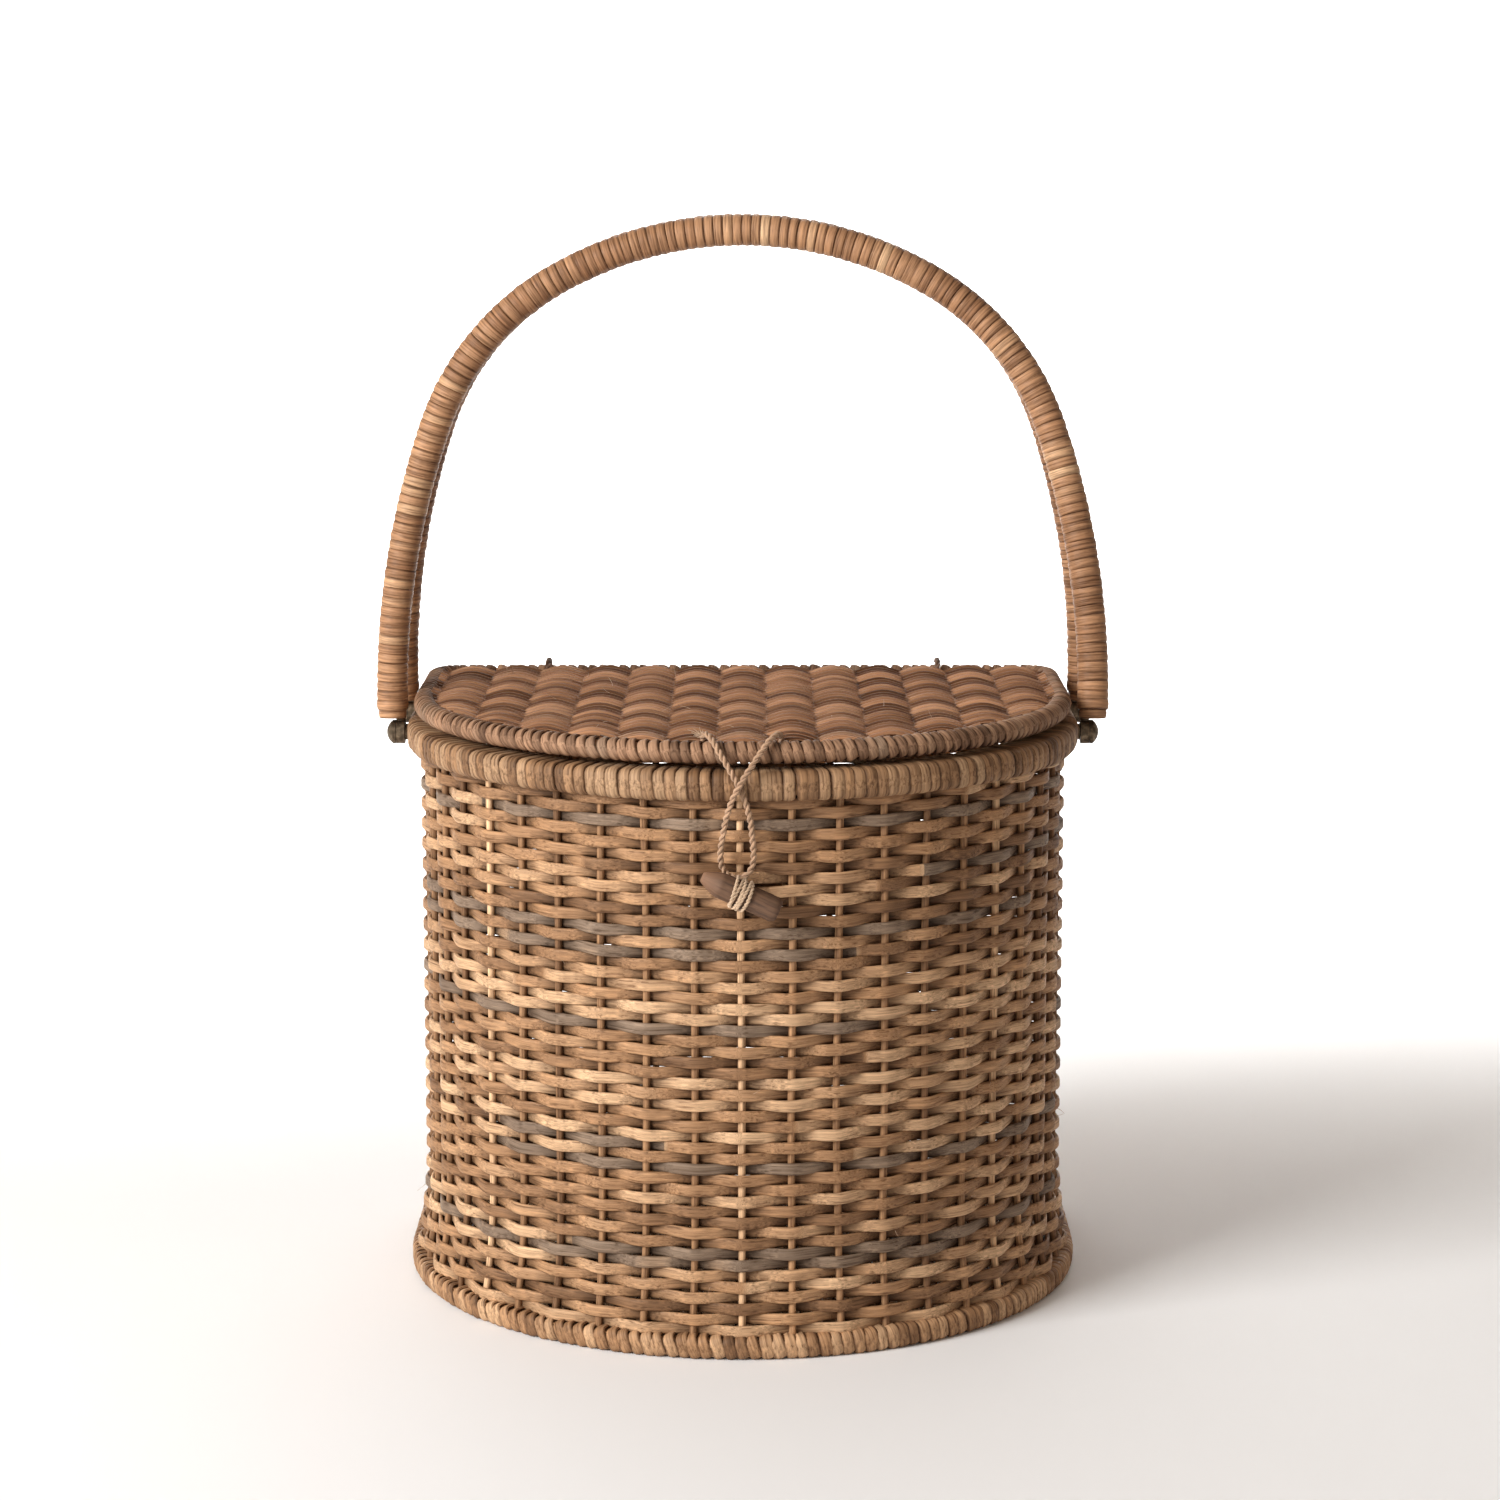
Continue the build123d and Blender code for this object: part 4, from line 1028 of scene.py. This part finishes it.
def path_frames(points, closed):
    """A pair of steady cross directions at each point of a path, and the distance walked."""
    if closed:
        tangents = np.roll(points, -1, axis=0) - np.roll(points, 1, axis=0)
    else:
        tangents = np.gradient(points, axis=0)
    tangents = unit(tangents)
    normal = np.cross(tangents[0], (0.31, 0.52, 0.79))
    normals = []
    for tangent in tangents:
        normal = unit(normal - tangent * np.dot(normal, tangent))
        normals.append(normal)
    normals = np.array(normals)
    steps = np.linalg.norm(np.diff(points, axis=0), axis=1)
    return normals, np.cross(tangents, normals), np.concatenate([[0], np.cumsum(steps)])


def lay_twine(guide, rng, points, diameter, closed):
    """Adds the two plies of a twine along a path to a guide."""
    normals, binormals, walked = path_frames(points, closed)
    size = walked[-1] + (np.linalg.norm(points[0] - points[-1]) if closed else 0)
    turns = max(1, round(size / (TWIST_LENGTH * diameter)))
    for ply in (0, 1):
        angle = 2 * math.pi * turns * walked / size + math.pi * ply
        swing = np.cos(angle)[:, None] * normals + np.sin(angle)[:, None] * binormals
        swell = 1 + 0.08 * ring_noise(rng, len(points), 16.0)
        guide.line(points + 0.25 * diameter * swing, closed, tone=rng.uniform(0.3, 1.0),
                   along=walked, swell=swell)


def make_plies(name, guide, size, material):
    """The round strands of a guide, as one plain mesh."""
    tree = shared("plies", lambda: strand_tree("laid_strands", "MINIMUM_TWIST"))
    return grow(name, guide.mesh(name + "_lines"), tree, Section=section("ply"), Sideways=size,
                Upright=size, Depth=0.0, Sharpness=0.5, Material=material)


def weave(name, mesh, outline, sideways, upright, depth, sharpness, material):
    """The strands of a guide that go over and under, as one plain mesh."""
    tree = shared("strands", lambda: strand_tree("woven_strands", "Z_UP"))
    return grow(name, mesh, tree, Section=section(outline), Sideways=sideways, Upright=upright,
                Depth=depth, Sharpness=sharpness, Material=material)


def fibre(guide, rng, root, direction, low, high):
    """Adds one stray fibre, from low to high millimetres long, that curls from its root."""
    direction = unit(np.array(direction))
    size = rng.uniform(low, high) * MM
    steps = np.linspace(0, 1, 7)[:, None]
    bend = rng.standard_normal(3) * size * 0.35
    points = np.array(root) + direction * size * steps + bend * steps ** 2
    guide.line(points, tone=rng.uniform(0.6, 1.0), along=size * steps[:, 0],
               swell=1.0 - 0.6 * steps[:, 0])


# ---------------------------------------------------------------- operators

class BASKET_OT_wall(bpy.types.Operator):
    """Set the stakes and weave the wall round them, row by row"""

    bl_idname = "basket.wall"
    bl_label = "Weave wall"

    def execute(self, context):
        settings = context.scene.basket_weave
        rng = np.random.default_rng(7)
        depth = (0.8 * settings.stake_width + settings.strand_thickness) / 2
        names = ("wall_weave_low", "wall_weave_middle", "wall_weave_high")
        shares = np.array_split(np.arange(settings.rows), len(names))
        for name, rows in zip(names, shares):
            piece = weave(name, wall_rows(rng, rows, settings), "weaver",
                          settings.strand_thickness, settings.strand_width, depth, WALL_BEND,
                          split_cane("body_cane"))
            place_piece(piece, "basket", "weave", "wall_weave")
        piece = make_plies("stakes", stake_lines(settings), settings.stake_width,
                           split_cane("stake_cane"))
        place_piece(piece, "basket", "stakes", "wall_stakes")
        return {"FINISHED"}


class BASKET_OT_bindings(bpy.types.Operator):
    """Bind the rim and the foot with flat cane"""

    bl_idname = "basket.bindings"
    bl_label = "Bind rim and foot"

    def execute(self, context):
        settings = context.scene.basket_binding
        thickness = settings.thickness
        rng = np.random.default_rng(11)
        rim_height = RIM_HIGH[2] - RIM_LOW[2]
        outline = rounded_outline(2 * STAKE_INSET - thickness, rim_height - thickness,
                                  RIM_ROUNDING - thickness / 2, 3)
        guide = plan_binding(rng, "rim_turns", STAKE_INSET, (RIM_LOW[2] + RIM_HIGH[2]) / 2,
                             settings.rim_turn, **RIM_LAY)
        piece = make_binding("rim_cane", guide, outline, RIM_COVER * settings.rim_turn,
                             thickness, split_cane("rim_cane"))
        place_piece(piece, "basket", "body_binding", "rim_binding")
        foot_height = FOOT_HIGH[2] - FOOT_LOW[2]
        outline = rounded_outline(FOOT_WIDTH - thickness, foot_height - thickness,
                                  FOOT_ROUNDING, 3)
        guide = plan_binding(rng, "foot_turns", FOOT_INSET, foot_height / 2 + FOOT_CLEARANCE,
                             settings.foot_turn, **FOOT_LAY)
        piece = make_binding("foot_cane", guide, outline, FOOT_COVER * settings.foot_turn,
                             thickness, split_cane("foot_cane"))
        place_piece(piece, "basket", "body_binding", "foot_binding")
        return {"FINISHED"}


class BASKET_OT_lid(bpy.types.Operator):
    """Weave the lid over its ribs and bind its border"""

    bl_idname = "basket.lid"
    bl_label = "Make lid"

    def execute(self, context):
        settings = context.scene.basket_weave
        rng = np.random.default_rng(23)
        inset = LID_INSET + 1.5 * LID_TUBE
        front = PLAN_Y - RIM_HALF + inset + settings.lid_pitch / 2
        back = RIM_HIGH[1] - inset
        height = (LID_WEAVE_LOW[2] + LID_WEAVE_HIGH[2]) / 2
        lines = []
        for y in np.arange(front, back, settings.lid_pitch):
            half = plan_chord(inset, y)
            if half > RIB_SPACING:
                lines.append((-half, half, y, height))
        guide = flat_strands(rng, "lid_lines", lines, RIB_SPACING, 0.0, 0, LID_GAPS)
        piece = weave("lid_strands", guide, "strap", settings.lid_strand_width,
                      settings.lid_strand_thickness, settings.lid_rise, LID_BEND,
                      split_cane("lid_cane"))
        place_piece(piece, "lid", "lid_cane", "lid_weave")
        binding = context.scene.basket_binding
        outline = round_outline(LID_TUBE - binding.thickness / 2)
        guide = plan_binding(rng, "lid_turns", LID_INSET + LID_TUBE, LID_LOW[2] + LID_TUBE,
                             binding.lid_turn, **LID_LAY)
        piece = make_binding("lid_border", guide, outline, LID_COVER * binding.lid_turn,
                             binding.thickness, split_cane("lid_binding_cane"))
        place_piece(piece, "lid", "lid_cane", "lid_binding")
        return {"FINISHED"}


class BASKET_OT_base(bpy.types.Operator):
    """Weave the base across its sticks"""

    bl_idname = "basket.base"
    bl_label = "Weave base"

    def execute(self, context):
        settings = context.scene.basket_weave
        rng = np.random.default_rng(31)
        inset = FOOT_INSET + FOOT_WIDTH / 2
        half = RIM_HALF - inset
        height = (BASE_LOW[2] + BASE_HIGH[2]) / 2
        back = RIM_HIGH[1] - inset
        lines = []
        for x in np.arange(-half + 3 * MM, half, settings.base_pitch):
            front = PLAN_Y - math.sqrt(max(half ** 2 - x ** 2, 0))
            lines.append((front, back, x, height))
        guide = flat_strands(rng, "base_lines", lines, BASE_STICK_SPACING,
                             back - BASE_STICK_SPACING / 2, 1, BASE_GAPS)
        piece = weave("base_strands", guide, "weaver", settings.base_pitch * BASE_COVER,
                      BASE_STRAND_THICKNESS, BASE_RISE, BASE_BEND, split_cane("body_cane"))
        place_piece(piece, "basket", "base", "base_weave")
        return {"FINISHED"}


class BASKET_OT_handles(bpy.types.Operator):
    """Bind both handles with flat cane"""

    bl_idname = "basket.handles"
    bl_label = "Bind handles"

    def execute(self, context):
        settings = context.scene.basket_binding
        thickness = HANDLE_CANE_SHARE * settings.thickness
        outline = round_outline(HANDLE_RADIUS - thickness / 2)
        for seed, (end, sign) in enumerate((("front", -1), ("back", 1))):
            rng = np.random.default_rng(41 + seed)
            pivot = JOINTS[end + "_handle_pivot"]["pos_m"]
            guide = handle_guide(rng, end + "_turns", pivot, sign, settings.handle_turn)
            piece = make_binding(end + "_handle_cane", guide, outline,
                                 HANDLE_COVER * settings.handle_turn, thickness,
                                 split_cane("handle_cane"))
            place_piece(piece, end + "_handle", "handle_binding", end + "_handle_binding")
        return {"FINISHED"}


class BASKET_OT_closure(bpy.types.Operator):
    """Lay the twine loop and whittle and lash the toggle"""

    bl_idname = "basket.closure"
    bl_label = "Make closure"

    def execute(self, context):
        route = [(x, y + PLAN_Y, z) for x, y, z in CLOSURE_ROUTE]
        path = spline_points(route)
        guide = Guide()
        rng = np.random.default_rng(3)
        lay_twine(guide, rng, path, TWINE_DIAMETER, False)
        piece = make_plies("closure_twine", guide, PLY_SHARE * TWINE_DIAMETER, twine())
        place_piece(piece, "lid", "twine", "closure_loop")
        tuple(route[0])
        self.frayed_end(rng, np.array(route[-1]))
        self.peg()
        self.lashing()
        return {"FINISHED"}

    def frayed_end(self, rng, root):
        """Pale fibres that stand out where the twine goes back into the lid."""
        guide = Guide()
        for _ in range(FRAYED_FIBRES):
            direction = np.array([-0.9, 0.25, 0.35]) + 0.45 * rng.standard_normal(3)
            start = root + np.array([0, 0, 2.6 * MM]) + 0.6 * MM * rng.standard_normal(3)
            fibre(guide, rng, start, direction, *FRAYED_LENGTHS)
        piece = make_plies("frayed_end", guide, FRAYED_DIAMETER, twine("lashing"))
        place_piece(piece, "lid", "twine")

    def place(self):
        """From the peg's own axes, with its length along Z, to where it lies."""
        turn = Euler((0, PEG_TILT - math.pi / 2, 0)).to_matrix().to_4x4()
        return Matrix.Translation(TOGGLE_PIVOT) @ turn

    def peg(self):
        """A whittled stick, faceted round, with a chamfered butt and a tapered, paler tip."""
        rng = np.random.default_rng(5)
        rings, around = 34, 28
        lump = smooth_noise(rng, (rings, around), 7.0)
        share, turn = np.meshgrid(np.linspace(-0.5, 0.5, rings), np.arange(around) / around,
                                  indexing="ij")
        angle = 2 * math.pi * turn
        from_butt = (share + 0.5) * PEG_LENGTH
        to_tip = (0.5 - share) * PEG_LENGTH
        taper = np.minimum(1.0, 0.36 + 0.64 * (to_tip / PEG_TAPER) ** 0.8)
        chamfer = np.minimum(1.0, 0.80 + 0.20 * from_butt / PEG_CHAMFER)
        facet = 1.0 - 0.05 * (1 - np.abs(np.cos(3.5 * angle + 2.2 * share)))
        radius = PEG_RADIUS * np.minimum(taper, chamfer) * facet * (1 + 0.02 * lump)
        flat = np.minimum(1.0, 0.72 + 0.28 * to_tip / PEG_FLAT)
        points = np.stack([radius * np.cos(angle), radius * np.sin(angle) * flat,
                           share * PEG_LENGTH], axis=-1).reshape(-1, 3)
        corner = np.arange(rings * around).reshape(rings, around)
        after = np.roll(corner, -1, axis=1)
        sides = np.stack([corner[:-1], after[:-1], after[1:], corner[1:]], axis=-1)
        ends = [corner[0, ::-1].tolist(), corner[-1].tolist()]
        mesh = guide_mesh("toggle_wood", points, [], sides.reshape(-1, 4).tolist() + ends,
                          along=from_butt.ravel(), across=np.abs(turn - 0.5).ravel(),
                          crest=0.8 * np.maximum(0.0, 1 - to_tip / PEG_PALE_TIP).ravel(),
                          tone=np.full(len(points), 0.3))
        mesh.transform(self.place())
        for polygon in mesh.polygons:
            polygon.use_smooth = len(polygon.vertices) == 4
        mesh.materials.append(peg_material())
        place_piece(link(bpy.data.objects.new("toggle_wood", mesh)), "toggle", "peg",
                    "toggle_peg")

    def lashing(self):
        """Pale twine that crosses itself round the middle of the peg."""
        rng = np.random.default_rng(9)
        place = np.array(self.place())
        guide = Guide()
        angle = np.linspace(0, 2 * math.pi, 72, endpoint=False)
        for turn, (shift, skew) in enumerate(LASHING_TURNS):
            radius = PEG_RADIUS + (0.35 + 0.15 * (turn % 2)) * LASHING_DIAMETER
            level = shift * MM + skew * MM * np.sin(angle + turn)
            ring = np.column_stack([radius * np.cos(angle), radius * np.sin(angle), level,
                                    np.ones(len(angle))])
            lay_twine(guide, rng, (ring @ place.T)[:, :3], LASHING_DIAMETER, True)
        piece = make_plies("toggle_twine", guide, LASHING_PLY_SHARE * LASHING_DIAMETER,
                           twine("lashing"))
        place_piece(piece, "toggle", "twine", "toggle_lashing")


class BASKET_OT_hinges(bpy.types.Operator):
    """Tie the lid to the rim with two twine rings"""

    bl_idname = "basket.hinges"
    bl_label = "Tie hinges"

    def execute(self, context):
        for seed, side in enumerate(("left", "right")):
            low, high = (np.array(corner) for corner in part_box("hinge_ring_" + side))
            middle = (low + high) / 2
            half = (high - low) / 2 - TWINE_DIAMETER / 2
            angle = np.linspace(0, 2 * math.pi, 150, endpoint=False)
            wave = np.stack([np.zeros(len(angle)), np.cos(angle), np.sin(angle)], axis=1)
            square = np.sign(wave) * np.abs(wave) ** 0.5
            points = middle + square * half
            narrow = np.clip((points[:, 2] - RIM_HIGH[2]) / (high[2] - RIM_HIGH[2]), 0, 1)
            reach = LID_TUBE + 0.5 * TWINE_DIAMETER + 0.5 * MM
            shut = JOINTS["lid_hinge"]["pos_m"][1] - reach
            points[:, 1] += (narrow * (shut - (middle[1] - half[1]))
                             * np.clip(-square[:, 1], 0, 1))
            guide = Guide()
            lay_twine(guide, np.random.default_rng(60 + seed), points, TWINE_DIAMETER, True)
            piece = make_plies("hinge_twine_" + side, guide, PLY_SHARE * TWINE_DIAMETER,
                               twine("hinge"))
            place_piece(piece, "basket", "twine", "hinge_ring_" + side)
        return {"FINISHED"}


class BASKET_OT_fibres(bpy.types.Operator):
    """Let a few fine fibres stand out of the wall and of the lid"""

    bl_idname = "basket.fibres"
    bl_label = "Add stray fibres"

    def execute(self, context):
        rng = np.random.default_rng(88)
        guide = Guide()
        plan, ahead, outward, _ = plan_walk(STAKE_INSET, rng.random(WALL_FIBRES))
        reach = context.scene.basket_weave.strand_thickness + 2.0 * MM
        for place, tangent, normal in zip(plan, ahead, outward):
            height = rng.uniform(*WALL_FIBRE_HEIGHTS)
            out = (flare_at(height) + reach) * normal
            direction = 0.55 * normal + rng.uniform(-1, 1) * tangent
            direction = np.array([*direction, rng.uniform(-0.7, 0.7)])
            fibre(guide, rng, (*(place + out), height), direction, *WALL_FIBRE_LENGTHS)
        place_piece(make_plies("wall_fibres", guide, FIBRE_DIAMETER, twine()), "basket", "weave")
        guide = Guide()
        for _ in range(LID_FIBRES):
            y = rng.uniform(PLAN_Y - 0.8 * RIM_HALF, RIM_HIGH[1] - 25 * MM)
            half = plan_chord(20 * MM, y)
            direction = np.array([rng.uniform(-1, 1), rng.uniform(-1, 1), 0.35])
            root = (rng.uniform(-half, half), y, LID_WEAVE_HIGH[2] + 0.6 * MM)
            fibre(guide, rng, root, direction, *LID_FIBRE_LENGTHS)
        place_piece(make_plies("lid_fibres", guide, FIBRE_DIAMETER, twine()), "lid", "lid_cane")
        return {"FINISHED"}


class BASKET_OT_fittings(bpy.types.Operator):
    """Finish the stakes, hoops, ribs, pins and eyes"""

    bl_idname = "basket.fittings"
    bl_label = "Finish fittings"

    def execute(self, context):
        level = stick_material("level_cane", shade("body_middle"), shade("body_dark"),
                               upright=False)
        ribs = stick_material("rib_cane", shade("lid_light"), shade("lid_dark"), upright=False)
        tie = stick_material("tie_twine", shade("twine"), shade("twine", 0.5))
        brass = brass_material()
        finishes = (("lid_ribs", ribs), ("lid_hoop", ribs), ("toggle_tie", tie), ("hoop", level),
                    ("core", level), ("sticks", level), ("pin", brass), ("eye", brass),
                    ("washers", brass))
        for name, node in frame["nodes"].items():
            matches = [material for part, material in finishes if part in name]
            if matches:
                self.finish(node, matches[0])
        return {"FINISHED"}

    def finish(self, node, material):
        if not node.material_slots:
            raise RuntimeError(node.name + " has no material slot")
        for holder in node.material_slots:
            holder.material = material


class BASKET_OT_stage(bpy.types.Operator):
    """Set the floor, the lights and the camera"""

    bl_idname = "basket.stage"
    bl_label = "Set stage"

    def execute(self, context):
        scene = context.scene
        scene.view_settings.view_transform = "Standard"
        self.backdrop()
        world = bpy.data.worlds.new("studio")
        world.use_nodes = True
        sky = Nodes(world.node_tree)
        sky.set(sky.tree.nodes["Background"], {"Color": WORLD_COLOUR, "Strength": WORLD_STRENGTH})
        scene.world = world
        for lamp in LAMPS:
            self.light(*lamp)
        camera = bpy.data.cameras.new("camera")
        camera.sensor_width = 36.0
        camera.lens = CAMERA_LENS
        camera.clip_end = 50.0
        thing = link(bpy.data.objects.new("camera", camera))
        thing.location = CAMERA_PLACE
        thing.rotation_euler = (math.pi / 2 - CAMERA_DOWN, 0, 0)
        scene.camera = thing
        return {"FINISHED"}

    def backdrop(self):
        """A pale floor that curves up behind the basket."""
        width, front, turn, radius, top = 5.0, -5.0, 1.6, 1.2, 4.5
        angles = np.linspace(0, math.pi / 2, 24)
        curve = [(turn + radius * math.sin(a), radius * (1 - math.cos(a))) for a in angles]
        profile = [(front, 0.0), *curve, (turn + radius, top)]
        points = [(x, y, z) for y, z in profile for x in (-width, width)]
        faces = [(2 * n, 2 * n + 1, 2 * n + 3, 2 * n + 2) for n in range(len(profile) - 1)]
        mesh = bpy.data.meshes.new("backdrop")
        mesh.from_pydata(points, [], faces)
        paper = Finish("pale_paper")
        paper.set(paper.shader, {"Base Color": (0.88, 0.88, 0.88, 1.0), "Roughness": 0.9})
        mesh.materials.append(paper.material)
        for polygon in mesh.polygons:
            polygon.use_smooth = True
        link(bpy.data.objects.new("backdrop", mesh))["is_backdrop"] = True

    def light(self, name, place, target, size, power, spread):
        lamp = bpy.data.lights.new(name, "AREA")
        lamp.spread = spread
        lamp.size = size
        lamp.energy = power
        thing = link(bpy.data.objects.new(name, lamp))
        thing.location = place
        aim = Vector(target) - Vector(place)
        thing.rotation_euler = aim.to_track_quat("-Z", "Y").to_euler()


class BASKET_PT_panel(bpy.types.Panel):
    """Lists the steps that make the basket"""

    bl_label = "Basket"
    bl_idname = "BASKET_PT_panel"
    bl_space_type = "VIEW_3D"
    bl_region_type = "UI"
    bl_category = "Basket"

    def draw(self, context):
        for group in ("basket_weave", "basket_binding", "basket_colours"):
            settings = getattr(context.scene, group)
            box = self.layout.box()
            for name in settings.__annotations__:
                box.prop(settings, name)
        for step in STEPS:
            self.layout.operator(step.bl_idname)


STEPS = (BASKET_OT_stage, BASKET_OT_closure, BASKET_OT_wall, BASKET_OT_bindings, BASKET_OT_lid,
         BASKET_OT_base, BASKET_OT_handles, BASKET_OT_hinges, BASKET_OT_fibres,
         BASKET_OT_fittings)
SETTINGS = {"basket_weave": BasketWeaveSettings, "basket_binding": BasketBindingSettings,
            "basket_colours": BasketColourSettings}


def register():
    for name, group in SETTINGS.items():
        bpy.utils.register_class(group)
        setattr(bpy.types.Scene, name, PointerProperty(type=group))
    for step in STEPS + (BASKET_PT_panel,):
        bpy.utils.register_class(step)


def unregister():
    for step in reversed(STEPS + (BASKET_PT_panel,)):
        bpy.utils.unregister_class(step)
    for name, group in SETTINGS.items():
        delattr(bpy.types.Scene, name)
        bpy.utils.unregister_class(group)


def main():
    register()
    for step in STEPS:
        action = step.bl_idname.split(".")[1]
        getattr(bpy.ops.basket, action)()
    for name in SECTIONS:
        bpy.data.objects.remove(section(name))
    corners = {"cad": CAD_BOUNDS, "visual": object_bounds()}
    plain = {name: [[float(value) for value in corner] for corner in pair]
             for name, pair in corners.items()}


if __name__ == "__main__":
    main()
